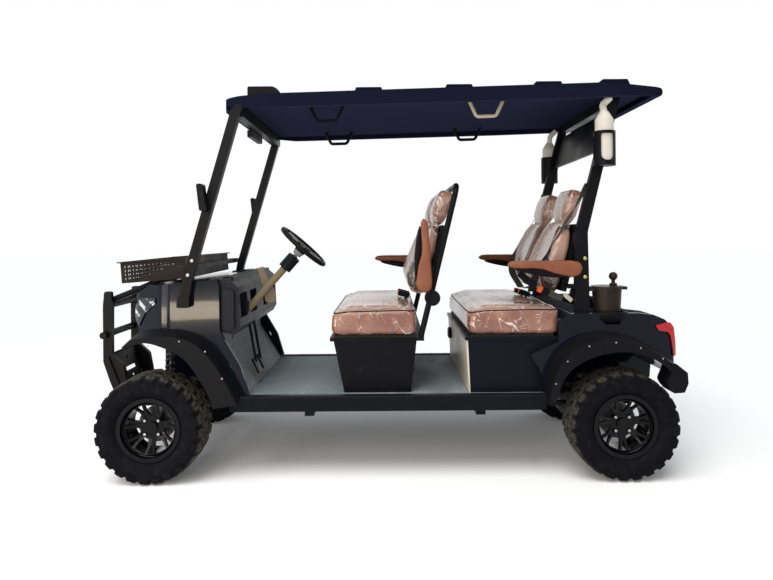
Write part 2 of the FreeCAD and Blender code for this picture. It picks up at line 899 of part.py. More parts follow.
def front_cowl():
    shell = cowl_volume(0)
    cavity = cowl_volume(cowl_wall)
    for part in wheel_well(front_axle_x, front_arch_radius + cowl_wall, well_inner_y - cowl_wall):
        cavity = cavity.cut(part)
    for part in wheel_well(front_axle_x, front_arch_radius, well_inner_y):
        shell = shell.cut(part)
    shell = shell.cut(cavity)
    strip = side_strip().cut(cavity).cut(deck_slab()).cut(side_sill())
    return joined([shell] + pair(strip) + hood_vent()).cut(lower_nose())


def hood_vent():
    """Louvred panel on the hood behind each front post's foot."""
    pieces = []
    for i in range(vent_slats):
        x = cowl_rear_x + 46 + i * 26
        z = hood_rear_z - (x - cowl_rear_x) * (hood_rear_z - hood_front_z) / (hood_front_x - cowl_rear_x)
        slat = block(x, x + 15, cowl_half_width - 150, cowl_half_width - 24, z - 4, z + 7)
        pieces += pair(slat)
    return pieces


def lower_nose():
    """Open space under the nose, where light shows through behind the guard."""
    half = cowl_half_width - 60
    return block(1240, nose_x + 20, -half, half, 440, 700)


def curve_through(points, y):
    """Smooth edge through (x, z) points in the plane at y."""
    curve = Part.BSplineCurve()
    curve.interpolate([at(x, y, z) for x, z in points])
    return curve.toShape()


def arch_band(upper, lower, inner_y):
    """Wheel arch flare: a broad band whose top slopes down from the body to an upright outer face."""
    pieces = []
    for shrink, open_by, y0, y1 in ((0, 0, inner_y, flare_outer_y),
                                    (flare_wall, arch_opening, inner_y - 1, flare_outer_y - flare_wall)):
        wires = []
        for y, fall in ((y0, shrink), (y1, shrink + flare_slope)):
            top = [(x, z - fall) for x, z in upper]
            foot = [(x, z - open_by) for x, z in lower]
            ends = []
            for i in (-1, 0):
                ends.append(Part.makeLine(at(top[i][0], y, top[i][1]), at(foot[i][0], y, foot[i][1])))
            wires.append(Part.Wire([curve_through(top, y), ends[0], curve_through(foot, y), ends[1]]))
        pieces.append(Part.makeLoft(wires, True, True))
    return pieces[0].cut(pieces[1])


def dash_solid():
    """Dash moulding across the cart with its cubbies, behind the front body."""
    body = side_panel([
        (cowl_rear_x, 780, 0),
        (cowl_rear_x, hood_rear_z, 0),
        (dash_rear_x + 62, hood_rear_z + 2, 14),
        (dash_rear_x + 10, 1018, 24),
        (dash_rear_x + 6, 930, 24),
        (dash_rear_x, 810, 24),
        (dash_rear_x + 24, 767, 10),
    ], -dash_half_width, dash_half_width)
    half = dash_half_width * 0.156
    for share in (-0.79, -0.33, 0.33, 0.79):
        y = share * dash_half_width
        body = body.cut(block(dash_rear_x - 20, 790, y - half, y + half, 850, 980))
    return body


def dashboard():
    tunnel = rod(column_point(300), column_point(600), column_radius + pin_gap)
    bracket_room = column_bracket()
    pods = pair(side_panel([
        (dash_rear_x + 30, 800, 16),
        (dash_rear_x + 30, 1000, 16),
        (cowl_rear_x - 22, 1016, 16),
        (cowl_rear_x - 22, 790, 16),
    ], dash_half_width - 4, dash_half_width + pod_rise))
    ledges = []
    for i in range(ledge_count):
        x = dash_rear_x + 44 + i * 24
        ledges.append(block(x, x + 12, 40 - dash_half_width, dash_half_width - 40, hood_rear_z - 14, hood_rear_z + 10))
    body = joined([dash_solid()] + pods + ledges)
    return body.cut(tunnel).cut(lower_shaft(13)).cut(bracket_room)


def headlight():
    """Lens on the nose corner, pointed at its lower front."""
    band = side_panel(headlight_outline, cowl_half_width - 185, cowl_half_width + 15)
    skin = cowl_volume(-6).cut(cowl_volume(0))
    return band.common(skin)


def tower_slots():
    """Openings in the wheel housings where the spring towers pass through."""
    x = front_axle_x
    half = tower_width / 2 + 4
    reach = rail_y + rail_width / 2 + tower_reach + 4
    return block(x - half, x + half, -reach, reach, tower_z - 4, tower_z + tower_thickness + 4)


def make_front_body():
    cowl = front_cowl().cut(tower_slots()).cut(lower_shaft(16))
    save("front_cowl", [cowl])
    left_flare = arch_band(front_flare_top, front_flare_arch, cowl_half_width - 8)
    left_flare = left_flare.cut(cowl_volume(0)).cut(side_sill()).cut(side_strip()).cut(deck_slab())
    save("front_flares", pair(left_flare))
    save("headlights", pair(headlight()))
    save("dashboard", [dashboard()])


def pedals():
    """Accelerator and brake pads on hanging levers."""
    pieces = []
    for y, width in ((130, 60), (250, 90)):
        pad = turned(block(690, 702, y - width / 2, y + width / 2, 500, 590), -25, 696, 545)
        lever = rod(at(700, y, 560), at(740, y, 790), 8)
        pieces.append(joined([pad, lever]).cut(dash_solid()))
    return pieces


# Roof and posts
def roof_line(x):
    """Height of the roof's underside liner at a place along the cart."""
    slope = (roof_rear_z - roof_front_z) / (716 + 1201)
    return roof_front_z - roof_liner_depth + (716 - x) * slope


def roof_volume():
    side = side_panel([
        (roof_front_x, 2012, 12),
        (716, roof_front_z, 200),
        (-1201, roof_rear_z, 300),
        (roof_rear_x, 2062, 18),
        (roof_rear_x + 40, 2020, 20),
        (-819, 1999, 100),
        (591, 1968, 100),
        (roof_front_x - 60, 1982, 20),
    ], -roof_half_width, roof_half_width)
    half = roof_half_width
    plan = plan_panel([
        (roof_front_x, half * 0.3, 500),
        (roof_front_x - 92, half * 0.9, 60),
        (560, half, 240),
        (roof_rear_x + 260, half, 300),
        (roof_rear_x, half - 50, 110),
        (roof_rear_x, 50 - half, 110),
        (roof_rear_x + 260, -half, 300),
        (560, -half, 240),
        (roof_front_x - 92, half * -0.9, 60),
        (roof_front_x, half * -0.3, 500),
    ], 1800, 2200)
    return side.common(plan)


def under_roof(x0, x1):
    """Space below the liner between two stations."""
    return side_panel([
        (x0, 1800, 0),
        (x1, 1800, 0),
        (x1, roof_line(x1), 0),
        (x0, roof_line(x0), 0),
    ], -roof_half_width + roof_rim, roof_half_width - roof_rim)


def roof():
    body = roof_volume().cut(under_roof(roof_rear_x + 90, roof_front_x - 90))
    ribs = []
    for x in (24, -455, -928, -1280):
        top = roof_line(x) + roof_liner_depth
        rib = side_panel([
            (x - 86, top - 20, 0),
            (x - 66, top + rib_rise, 6),
            (x + 66, top + rib_rise, 6),
            (x + 86, top - 20, 0),
        ], rib_inset - roof_half_width, roof_half_width - rib_inset)
        ribs.append(rib.cut(roof_volume()))
    return body, ribs


def post_side(points, width, y0, y1):
    """Flat bar seen from the side, its middle line through the points."""
    left = []
    right = []
    count = len(points)
    for i, (x, z) in enumerate(points):
        before = points[max(i - 1, 0)]
        after = points[min(i + 1, count - 1)]
        along = FreeCAD.Vector(after[0] - before[0], after[1] - before[1], 0).normalize()
        left.append((x - along.y * width / 2, z + along.x * width / 2, 0))
        right.append((x + along.y * width / 2, z - along.x * width / 2, 0))
    return side_panel(left + right[::-1], y0, y1)


def front_posts():
    lean = (front_post_foot_x - front_post_top_x) / (front_post_top_z - front_post_foot_z)
    inner = front_post_inner_y
    outer = inner + front_post_depth
    low = (front_post_foot_x + (front_post_foot_z - 925) * lean * 0.6, 925)
    high = (front_post_top_x - 150 * lean, front_post_top_z + 150)
    points = [low, (front_post_foot_x, front_post_foot_z), (front_post_top_x, front_post_top_z), high]
    post = post_side(points, post_width, inner, outer)
    foot = side_panel([
        (low[0] - 34, low[1] - 8, 10),
        (low[0] + 34, low[1] - 8, 10),
        (low[0] + 26, low[1] + 60, 14),
        (low[0] - 34, low[1] + 60, 14),
    ], inner, outer + 6)
    bolts = []
    for z in (front_post_foot_z, front_post_foot_z + 75):
        x = front_post_foot_x - max(z - front_post_foot_z, 0) * lean
        bolts.append(rod(at(x, outer - 1, z), at(x, outer + 6, z), 11))
    beam_x = front_post_top_x - 20 * lean
    beam = block(beam_x - 40, beam_x + 10, -inner - 2, inner + 2, 1925, 2300)
    clear = under_roof(-1400, roof_front_x - 90).fuse(block(400, 1200, -beyond, beyond, 900, 1964))
    return joined(pair(joined([post, foot] + bolts)) + [beam]).common(clear)


def make_roof():
    body, ribs = roof()
    save("roof", [joined([body] + ribs)])


# Seats
def seat_pod(shift):
    """Tapered seat box with a rim, open at the top and at the floor, with a round plug in each side."""
    low_z = floor_top_z + mat_thickness

    def frustum(inset, bottom, top):
        faces = []
        for z, x0, x1, y in ((bottom, -190, 171, pod_half_width - 18), (top, -222, 226, pod_half_width)):
            points = [
                at(shift + x0 + inset, inset - y, z),
                at(shift + x1 - inset, inset - y, z),
                at(shift + x1 - inset, y - inset, z),
                at(shift + x0 + inset, y - inset, z),
            ]
            faces.append(Part.Wire(Part.makePolygon(points + [points[0]])))
        return Part.makeLoft(faces, True, True)

    outer = frustum(0, low_z, seat_top_z - 20)
    inner = frustum(pod_wall, low_z, seat_top_z - 20)
    rim_part = block(shift - 262, shift + 245, -pod_half_width - 10, pod_half_width + 10, seat_top_z - 20, seat_top_z)
    mouth = block(shift - 200, shift + 205, 30 - pod_half_width, pod_half_width - 30, seat_top_z - 21, seat_top_z + 1)
    plug_y = pod_half_width - 14
    plugs = pair(rod(at(shift + plug_x, plug_y, plug_z), at(shift + plug_x, plug_y + plug_rise, plug_z), plug_radius))
    return joined([outer.cut(inner), rim_part.cut(mouth)] + [plug.cut(inner) for plug in plugs])


def back_point(shift, up, forward, y):
    """Place on a seat back: up along the leaning hoop, forward square to it."""
    angle = math.radians(recline)
    x = back_foot_x + shift - up * math.sin(angle) + forward * math.cos(angle)
    z = back_foot_z + up * math.cos(angle) + forward * math.sin(angle)
    return at(x, y, z)


def back_panel(shift, corners, y0, y1):
    """Solid between two Y planes from (forward, up, radius) corners on a seat back."""
    wire = rounded_wire(corners, lambda u, v: back_point(shift, v, u, y0))
    return Part.Face(wire).extrude(at(0, y1 - y0, 0))


def cushion(shift):
    """Bench cushion with a rounded front edge and a soft lower edge over the box's rim."""
    return side_panel([
        (shift + cushion_front_x - 6, cushion_low_z, 24),
        (shift + cushion_front_x, cushion_low_z + 60, 60),
        (shift + cushion_front_x - 12, cushion_high_z, 56),
        (shift + cushion_rear_x, cushion_high_z, 40),
        (shift + cushion_rear_x, cushion_low_z, 20),
    ], -cushion_half_width, cushion_half_width)


def seat_board(shift):
    """Board under the bench cushion, resting on the seat box."""
    return block(shift + cushion_rear_x + 12, shift + cushion_front_x - 12, 25 - cushion_half_width,
                 cushion_half_width - 25, seat_top_z, cushion_low_z - soft_gap)


def backrests(shift):
    """Pads and headrests of the two seats in one row."""
    half = back_pad_width / 2
    front = hoop_radius + 10 + soft_gap
    pieces = []
    for y in (-back_pad_y, back_pad_y):
        pad = back_panel(shift, [
            (front, 130, 18),
            (front + 70, 130, 36),
            (front + 112, 225, 80),
            (front + 64, 500, 120),
            (front + 40, 562, 20),
            (front, 562, 8),
        ], y - half, y + half)
        shoulders = front_panel([
            (y - half, back_foot_z + 60, 40),
            (y - half, back_foot_z + 420, 160),
            (y - head_half_width + 4, back_foot_z + 590, 60),
            (y + head_half_width - 4, back_foot_z + 590, 60),
            (y + half, back_foot_z + 420, 160),
            (y + half, back_foot_z + 60, 40),
        ], back_foot_x + shift - 400, back_foot_x + shift + 400)
        head = back_panel(shift, [
            (front - 20, 548, 8),
            (front + 54, 548, 24),
            (front + 72, 640, 46),
            (front + 46, 742, 36),
            (front - 30, 742, 24),
        ], y - head_half_width, y + head_half_width)
        pieces.append(joined([pad.common(shoulders), head]))
    return pieces


def back_shells(shift):
    """Shells behind the pads, wrapped forward of the hoop."""
    pieces = []
    half = back_pad_width / 2
    for y in (-back_pad_y, back_pad_y):
        pieces.append(back_panel(shift, [
            (-6, 165, 8),
            (hoop_radius + 10, 165, 0),
            (hoop_radius + 10, 541, 0),
            (-6, 541, 24),
        ], y - half + 6, y + half - 6))
    return pieces


def arm_bracket(shift, hoop_side):
    """Plate and pin that carry one armrest from the hoop or rear post."""
    pivot = at(shift + arm_pivot_x, 0, arm_pivot_z)
    y0 = hoop_y + hoop_radius - 8
    y1 = hoop_y + hoop_radius
    plate = side_panel([
        (pivot.x - hoop_side, pivot.z - 34, 0),
        (pivot.x + 12, pivot.z - 22, 14),
        (pivot.x + 16, pivot.z + 16, 14),
        (pivot.x - hoop_side, pivot.z + 26, 0),
    ], y0, y1)
    pin = rod(at(pivot.x, y1 - 4, pivot.z), at(pivot.x, arm_inner_y + arm_width - 8, pivot.z), arm_pin_radius)
    return joined([plate, pin])


def hoop(shift, radius):
    """Tube hoop behind one row, from the seat box up and over behind the headrests."""
    bottom = back_point(shift, (seat_top_z - back_foot_z) / math.cos(math.radians(recline)), 0, hoop_y)
    points = [
        bottom,
        back_point(shift, hoop_height, 0, hoop_y),
        back_point(shift, hoop_height, 0, -hoop_y),
        at(bottom.x, -hoop_y, bottom.z),
    ]
    return tube(points, radius, 70)


def front_seat_frame():
    pieces = [hoop(0, hoop_radius).cut(block(-400, 0, -beyond, beyond, 500, seat_top_z))]
    for up in (200, 500):
        pieces.append(rod(back_point(0, up, 0, -hoop_y), back_point(0, up, 0, hoop_y), cross_radius))
    pieces += back_shells(0)
    pieces += pair(arm_bracket(0, 66))
    return joined(pieces)


def rear_seat_frame():
    """Cross tubes between the rear posts; the lower one stands off them on blocks."""
    shift = -row_pitch
    inner = rear_post_y - rear_post_depth / 2
    outer = rear_post_y + rear_post_depth / 2
    pieces = [rod(back_point(shift, 500, 0, -inner), back_point(shift, 500, 0, inner), cross_radius)]
    low = back_point(shift, 200, 0, 0)
    pieces.append(rod(at(low.x, -outer, low.z), at(low.x, outer, low.z), cross_radius))
    post_face = rear_post_x + rear_post_foot_width / 2
    for side in (1, -1):
        y = side * rear_post_y - rear_post_depth / 2
        pieces.append(block(post_face, low.x, y, y + rear_post_depth, low.z - 12, low.z + 12))
    pieces += back_shells(shift)
    return joined(pieces)


def armrest(shift, side, raised):
    """Padded arm, thick over its pivot, drawn flat and folded up when raised."""
    x = shift + arm_pivot_x
    z = arm_pivot_z
    y0 = arm_inner_y
    pad = side_panel([
        (x - 114, z + 50, 24),
        (x + 264, z + 50, 14),
        (x + 278, z + 16, 12),
        (x + 190, z - 14, 60),
        (x + 90, z - 36, 60),
        (x - 60, z - 44, 50),
        (x - 116, z - 24, 24),
    ], y0, y0 + arm_width)
    bore = rod(at(x, y0 - 1, z), at(x, y0 + arm_width - 8 + pin_gap, z), arm_pin_radius + pin_gap)
    pad = pad.cut(bore)
    if raised:
        pad = turned(pad, arm_fold, x, z)
    return pad if side > 0 else mirrored(pad)


def make_seats():
    for name, shift in (("front", 0.0), ("rear", -row_pitch)):
        save(name + "_cushion", [cushion(shift)])
        save(name + "_backrests", backrests(shift))
    save("seat_boards", [seat_board(0.0), seat_board(-row_pitch)])
    save("front_seat_base", [seat_pod(0)])
    save("front_seat_frame", [front_seat_frame()])
    save("rear_seat_frame", [rear_seat_frame()])
    save("armrest_front_left", [armrest(0, 1, True)])
    save("armrest_front_right", [armrest(0, -1, False)])
    save("armrest_rear_left", [armrest(-row_pitch, 1, False)])
    save("armrest_rear_right", [armrest(-row_pitch, -1, False)])
    save("seat_belts", seat_belts())


def seat_belts():
    """Retractors, buckles on stalks and the webbing that hangs beside each seat."""
    pieces = []
    for shift in (0.0, -row_pitch):
        for side in (1, -1):
            pieces.append(retractor(shift, side))
            y = side * buckle_y
            stalk = rod(at(shift - 176, y, cushion_high_z + soft_gap), at(shift - 176, y, 930), 7)
            buckle = turned(block(shift - 200, shift - 130, y - 15, y + 15, 915, 945), 15, shift - 165, 930)
            pieces.append(joined([stalk, buckle]))
    return pieces


def retractor(shift, side):
    """Belt reel, clamped round the front hoop's leg or on the inner face of a rear post."""
    if shift == 0:
        centre = back_point(shift, 143, -12, 0)
        y0 = hoop_y - 24
        y1 = hoop_y + hoop_radius
    else:
        centre = at(rear_post_x + 8, 0, 965)
        y0 = rear_post_y - rear_post_depth / 2 - retractor_width
        y1 = y0 + retractor_width
    start = at(centre.x, side * y0, centre.z)
    reel = rod(start, at(centre.x, side * y1, centre.z), retractor_radius)
    if shift == 0:
        return reel.cut(hoop(0, hoop_radius + soft_gap))
    return reel


# Rear body
def rear_pod():
    """Rear seat box: cream front panel and black sides, open behind."""
    shift = -row_pitch
    front = side_panel([
        (shift + 234, floor_top_z + mat_thickness, 0),
        (shift + 246, seat_top_z - 20, 0),
        (shift + 240, seat_top_z - 20, 0),
        (shift + 228, floor_top_z + mat_thickness, 0),
    ], -pod_half_width, pod_half_width)
    side = side_panel([
        (rear_body_front_x, floor_top_z + mat_thickness, 0),
        (shift + 228, floor_top_z + mat_thickness, 0),
        (shift + 240, seat_top_z - 20, 0),
        (rear_body_front_x, seat_top_z - 20, 0),
    ], pod_half_width - pod_wall, pod_half_width)
    rim_part = block(rear_body_front_x, shift + 252, -pod_half_width - 10, pod_half_width + 10, seat_top_z - 20,
                     seat_top_z)
    mouth = block(rear_body_front_x + 30, shift + 214, 30 - pod_half_width, pod_half_width - 30, seat_top_z - 21,
                  seat_top_z + 1)
    return joined([front, rim_part.cut(mouth)] + pair(side))


def rear_body_volume(inset):
    """Outside form of the rear body, or its inside when inset by the wall."""
    side = side_panel([
        (rear_body_front_x - inset, 446 - inset, 0),
        (rear_body_front_x - inset, rear_body_top_z - 40, 30),
        (rear_body_front_x - 74 - inset, rear_body_top_z - inset, 30),
        (-1400, rear_body_top_z - inset, 120),
        (-1484 + inset, rear_body_top_z - 10 - inset, 60),
        (-1552 + inset, 828 - inset, 50),
        (rear_tail_x + 24 + inset, 786, 30),
        (rear_tail_x + inset, 640, 40),
        (rear_tail_x + 16 + inset, 446 - inset, 0),
    ], -rear_body_half_width - 10, rear_body_half_width + 10)
    width = rear_body_half_width - inset
    plan = plan_panel([
        (rear_body_front_x, width, 0),
        (-1460, width, 200),
        (rear_tail_x + inset, width - 34, 46),
        (rear_tail_x + inset, 34 - width, 46),
        (-1460, -width, 200),
        (rear_body_front_x, -width, 0),
    ], 300, 1000)
    return side.common(plan)


def fender_wing():
    """Front of the rear fender, which overlaps the seat box's side in a slanted crease."""
    outline = [
        (rear_body_front_x - 2, 446, 0),
        (-902, 446, 0),
        (-878, 560, 60),
        (-824, 648, 8),
        (rear_body_front_x - 2, 716, 0),
    ]
    return side_panel(outline, pod_half_width + soft_gap, rear_body_half_width)


def rear_well(inset):
    """Open bag well between the rear wheel housings."""
    half = deck_well_half_width + inset
    return block(-1570 - inset, -1175 + inset, -half, half, deck_well_z - inset, rear_body_top_z + 40)


def rear_body():
    shell = rear_body_volume(0)
    cavity = rear_body_volume(cowl_wall)
    for part in wheel_well(rear_axle_x, rear_arch_radius + cowl_wall, well_inner_y - cowl_wall):
        cavity = cavity.cut(part)
    for part in wheel_well(rear_axle_x, rear_arch_radius, well_inner_y):
        shell = shell.cut(part)
    cavity = cavity.cut(rear_well(cowl_wall))
    mouth = rear_body_half_width - 80
    open_front = block(rear_body_front_x - 20, rear_body_front_x + 10, -mouth, mouth, 400, seat_top_z - 40)
    return shell.cut(cavity).cut(rear_well(0)).cut(open_front)


def tail_light():
    """Red lens with a slim arm along the top edge and a blade down the rear corner."""
    band = side_panel(tail_light_outline, rear_body_half_width - 130, rear_body_half_width + 40)
    skin = rear_body_volume(-8).cut(rear_body_volume(0))
    return band.common(skin)


def ball_washer():
    """Ball washer beside the left rear post: a can on a boss, its collar and ear, and a plunger with a knob."""
    x = washer_x
    y = washer_y
    low = washer_foot_z
    knob_x = x - washer_knob_back
    boss = rod(at(x, y, rear_body_top_z - washer_sink), at(x, y, low + 4), 40)
    can = Part.makeCone(70, 78, 136, at(x, y, low), at(0, 0, 1))
    collar = rod(at(x, y, low + 134), at(x, y, low + 150), 84)
    gland = rod(at(knob_x, y, low + 144), at(knob_x, y, low + 164), 20)
    stem = rod(at(knob_x, y, low + 144), at(knob_x, y, low + 190), 10)
    knob = Part.makeSphere(23, at(knob_x, y, low + 202))
    post_face = rear_post_x - rear_post_foot_width / 2 + 6
    arm = block(x, post_face, y + 4, y + 34, low + 124, low + 148)
    ear = block(x - 106, x - 60, y - 20, y + 20, low + 130, low + 146)
    return joined([boss, can, collar, gland, stem, knob, arm, ear])


def make_rear_body():
    pod = rear_pod()
    save("rear_seat_base", [pod])
    body = rear_body()
    volume = rear_body_volume(0)
    posts = rear_posts()
    wings = [wing.cut(deck_slab()) for wing in pair(fender_wing())]
    cup = washer_seat(cowl_wall).common(volume)
    save("rear_body", [joined([body, cup] + wings).cut(washer_seat(0))])
    save("rear_posts", [posts])
    save("ball_washer", [ball_washer().cut(posts)])
    rear_flare = arch_band(rear_flare_top, rear_flare_arch, rear_body_half_width - 8)
    rear_flare = rear_flare.cut(volume).cut(deck_slab()).cut(fender_wing()).cut(side_sill())
    save("rear_flares", pair(joined([rear_flare, flare_heel()])))
    save("tail_lights", pair(tail_light()))


def flare_heel():
    """Solid heel at the rear end of the rear flare, wrapped round the body's corner."""
    heel = side_panel(heel_outline, rear_body_half_width - 60, flare_outer_y)
    return heel.cut(rear_body_volume(0)).cut(rod(at(rear_axle_x, 0, tyre_radius), at(rear_axle_x, beyond, tyre_radius),
                                                 tyre_radius + heel_gap))


def washer_seat(wall):
    """Round cup in the body that the ball washer stands in, or its outside form with a wall."""
    low = at(washer_x, washer_y, rear_body_top_z - washer_sink - wall)
    return rod(low, at(washer_x, washer_y, rear_body_top_z + 20), washer_seat_radius + wall)


def rear_posts():
    """Posts from the rear body to the roof, joined by a cross panel."""
    y0 = rear_post_y - rear_post_depth / 2
    y1 = rear_post_y + rear_post_depth / 2
    lean = (rear_post_x - rear_post_top_x) / (rear_post_top_z - rear_post_bend_z)
    top_z = 2150.0
    top_x = rear_post_top_x - lean * (top_z - rear_post_top_z)
    half = rear_post_foot_width / 2
    post = side_panel([
        (rear_post_x + half, rear_body_top_z, 0),
        (rear_post_x + half, rear_post_bend_z - 40, 60),
        (top_x + 27, top_z, 0),
        (top_x - 27, top_z, 0),
        (rear_post_x - half + 8, rear_post_bend_z - 20, 90),
        (rear_post_x - half, rear_body_top_z, 0),
    ], y0, y1)
    panel = side_panel([
        (-1228, 1746, 0),
        (-1250, 1746, 0),
        (-1308, 1960, 0),
        (-1286, 1960, 0),
    ], -y0 - 1, y0 + 1)
    beam_x = top_x + lean * 110
    beam = block(beam_x - 25, beam_x + 25, -y0 - 1, y0 + 1, 1990, top_z)
    whole = joined(pair(post) + [panel, beam])
    below = under_roof(roof_rear_x + 90, 400).fuse(block(-1500, 0, -beyond, beyond, 700, 1801))
    bracket = arm_bracket(-row_pitch, 120)
    return joined([whole.common(below)] + pair(bracket))


def bottle_holder(shift_x):
    """Sleeve clamped to the outside of a rear post, with a tall window and a slot to each side."""
    y = rear_post_y + rear_post_depth / 2 + holder_radius
    low = at(shift_x, y, holder_low_z)
    sleeve = rod(low, at(shift_x, y, holder_high_z), holder_radius)
    inner = rod(at(shift_x, y, holder_low_z + 8), at(shift_x, y, holder_high_z + 1), holder_radius - 5)
    window = side_panel([
        (shift_x - 33, holder_low_z + 26, 30),
        (shift_x - 33, holder_high_z - 16, 10),
        (shift_x + 33, holder_high_z - 16, 10),
        (shift_x + 33, holder_low_z + 26, 30),
    ], y, y + holder_radius + 2)
    slot = front_panel([
        (y - 12, holder_low_z + 30, 10),
        (y - 12, holder_high_z - 30, 10),
        (y + 12, holder_high_z - 30, 10),
        (y + 12, holder_low_z + 30, 10),
    ], shift_x - holder_radius - 2, shift_x + holder_radius + 2)
    return sleeve.cut(inner).cut(window).cut(slot)


def sand_bottle(shift_x):
    """Cream bottle with a bent neck, standing in its holder."""
    y = rear_post_y + rear_post_depth / 2 + holder_radius
    radius = holder_radius - 9
    foot = holder_low_z + 8
    body = rod(at(shift_x, y, foot), at(shift_x, y, foot + 236), radius)
    shoulder = Part.makeCone(radius, 22, 44, at(shift_x, y, foot + 236), at(0, 0, 1))
    neck = tube([
        at(shift_x, y, foot + 270),
        at(shift_x, y - 22, foot + 320),
        at(shift_x - 40, y - 22, foot + 358),
    ], 18, 22)
    return joined([body, shoulder, neck])


def make_bottles():
    x = -1223.0
    save("bottle_holders", pair(bottle_holder(x)))
    save("sand_bottles", pair(sand_bottle(x)))


# Bull bar and basket
def skid_plate():
    """Sloping plate under the guard with a winch slot and two rows of holes."""
    low = at(skid_low_x, 0, skid_low_z)
    along = at(skid_high_x, 0, skid_high_z).sub(low)
    length = along.Length
    lean = math.degrees(math.atan2(along.x, along.z))
    plate = block(-skid_thickness, 0, -skid_half_width, skid_half_width, 0, length)
    plate = plate.cut(block(-skid_thickness - 1, 1, -70, 70, length * 0.4, length * 0.4 + 22))
    for y in (-120, 0, 120):
        for share in skid_hole_rows:
            start = at(-skid_thickness - 1, y, length * share)
            plate = plate.cut(rod(start, start.add(at(skid_thickness + 2, 0, 0)), skid_hole_radius))
    plate.rotate(at(0, 0, 0), at(0, 1, 0), lean)
    plate.translate(low)
    return plate


def bull_bar():
    """Welded front guard: two side frames, cross tubes, skid plate and hood struts."""
    y0 = bull_frame_y - bull_tube_radius
    y1 = bull_frame_y + bull_tube_radius
    back = bull_front_x - guard_upright
    frame = side_panel([
        (rail_front_x, rail_low_z, 0),
        (1520, 330, 20),
        (1566, 440, 20),
        (bull_front_x, 560, 24),
        (bull_front_x, 890, 10),
        (bull_front_x - 8, guard_ear_z, 12),
        (back + 6, guard_ear_z, 12),
        (back, 890, 10),
        (back + 2, 600, 30),
        (1488, 540, 30),
        (rail_front_x, rail_high_z, 0),
    ], y0, y1)
    pieces = pair(frame)
    middle = bull_front_x - guard_upright / 2
    for x, z, reach, radius in ((bull_front_x - 14, 719, 250, 20), (middle, 895, bull_frame_y, 24)):
        pieces.append(rod(at(x, -reach, z), at(x, reach, z), radius))
    pieces.append(block(middle - 4, middle + 4, -bull_frame_y, bull_frame_y, 520, 602))
    pieces.append(skid_plate())
    for side in (1, -1):
        y = side * 170
        strut = tube([at(1575, y, 880), at(1560, y, 925), at(1465, y, 962), at(1262, y, 1045), at(1236, y, 1090)],
                     bull_tube_radius, 26)
        pieces.append(strut)
    return joined(pieces)


def basket_tub(inset):
    return block(basket_rear_x + inset, basket_front_x - inset, inset - basket_half_width,
                 basket_half_width - inset, basket_low_z + inset, basket_low_z + basket_depth + (1 if inset else 0))


def basket_holes():
    """Square holes through the front wall and the front part of both side walls, in rows."""
    holes = []
    half = basket_hole / 2
    for row in range(basket_hole_rows):
        z = basket_low_z + 22 + row * basket_pitch
        columns = int((basket_half_width - 20) / basket_pitch)
        for i in range(-columns, columns + 1):
            y = i * basket_pitch
            holes.append(block(basket_front_x - 10, basket_front_x + 5, y - half, y + half, z - half, z + half))
        for i in range(basket_hole_columns - 3 * (basket_hole_rows - 1 - row)):
            x = basket_front_x - 24 - i * basket_pitch
            for side in (1, -1):
                y = side * basket_half_width
                holes.append(block(x - half, x + half, y - 8, y + 8, z - half, z + half))
    return Part.makeCompound(holes)


def cargo_basket():
    """Open tub with a turned lip, tipped nose down, carried on a bar between the posts."""
    tub = basket_tub(0).cut(basket_tub(basket_wall))
    top = basket_low_z + basket_depth
    lip = block(basket_rear_x - 14, basket_front_x + 14, -basket_half_width - 14, basket_half_width + 14, top - 6, top)
    lip = lip.cut(basket_tub(basket_wall))
    tub = joined([tub, lip]).cut(basket_holes())
    return turned(tub, -basket_tilt, basket_rear_x, basket_low_z + 14)


def basket_bar():
    """Bar behind the basket, fixed to both front posts."""
    half = front_post_inner_y + front_post_depth
    return block(1003, basket_rear_x + 14, -half, half, 1108, 1136)


def make_front_gear():
    posts = front_posts()
    save("front_posts", [posts])
    tub = cargo_basket()
    bar = basket_bar().cut(posts).cut(turned(basket_tub(0), -basket_tilt, basket_rear_x, basket_low_z + 14))
    basket = joined([tub, bar])
    save("cargo_basket", [basket])
    hull = turned(basket_tub(0), -basket_tilt, basket_rear_x, basket_low_z + 14)
    save("bull_bar", [bull_bar().cut(hull).cut(cowl_volume(0))])
    save("side_mirrors", side_mirrors())
    save("light_bar", [light_bar().cut(posts)])
    save("roof_pod", [roof_pod()])
    save("grab_handles", grab_handles())
    save("pedals", pedals())


def side_mirrors():
    """Mirror heads on short arms from the front posts."""
    y = front_post_inner_y + front_post_depth
    head = side_panel(mirror_outline, y + 6, y + 60)
    arm = rod(at(872, y, 1450), at(885, y + 20, 1452), 9)
    posts = front_posts()
    return [piece.cut(posts) for piece in pair(joined([head, arm]))]


def light_bar():
    """Lamp bar under the front cross beam."""
    return block(735, 765, -150, 150, 1885, 1925)


def roof_pod():
    """Housing on the front of the roof, upright in front and sloping behind."""
    body = side_panel(pod_outline, -pod_reach, pod_reach)
    return body.cut(roof_volume())


def grab_handles():
    """Wide handles under the roof, two on each side."""
    pieces = []
    for x in (262.0, -620.0):
        y = handle_y
        z = roof_line(x)
        points = [
            at(x - handle_half - handle_splay, y, z + 8),
            at(x - handle_half, y, z - handle_drop),
            at(x + handle_half, y, z - handle_drop - 3),
            at(x + handle_half + handle_splay, y, z + 8),
        ]
        pieces += pair(tube(points, handle_radius, 22))
    return [piece.cut(roof_volume().cut(under_roof(-1400, 700))) for piece in pieces]


os.makedirs("parts", exist_ok=True)
make_wheels()
make_steering()
make_chassis()
make_floor()
make_front_body()
make_front_gear()
make_roof()
make_seats()
make_rear_body()
make_bottles()
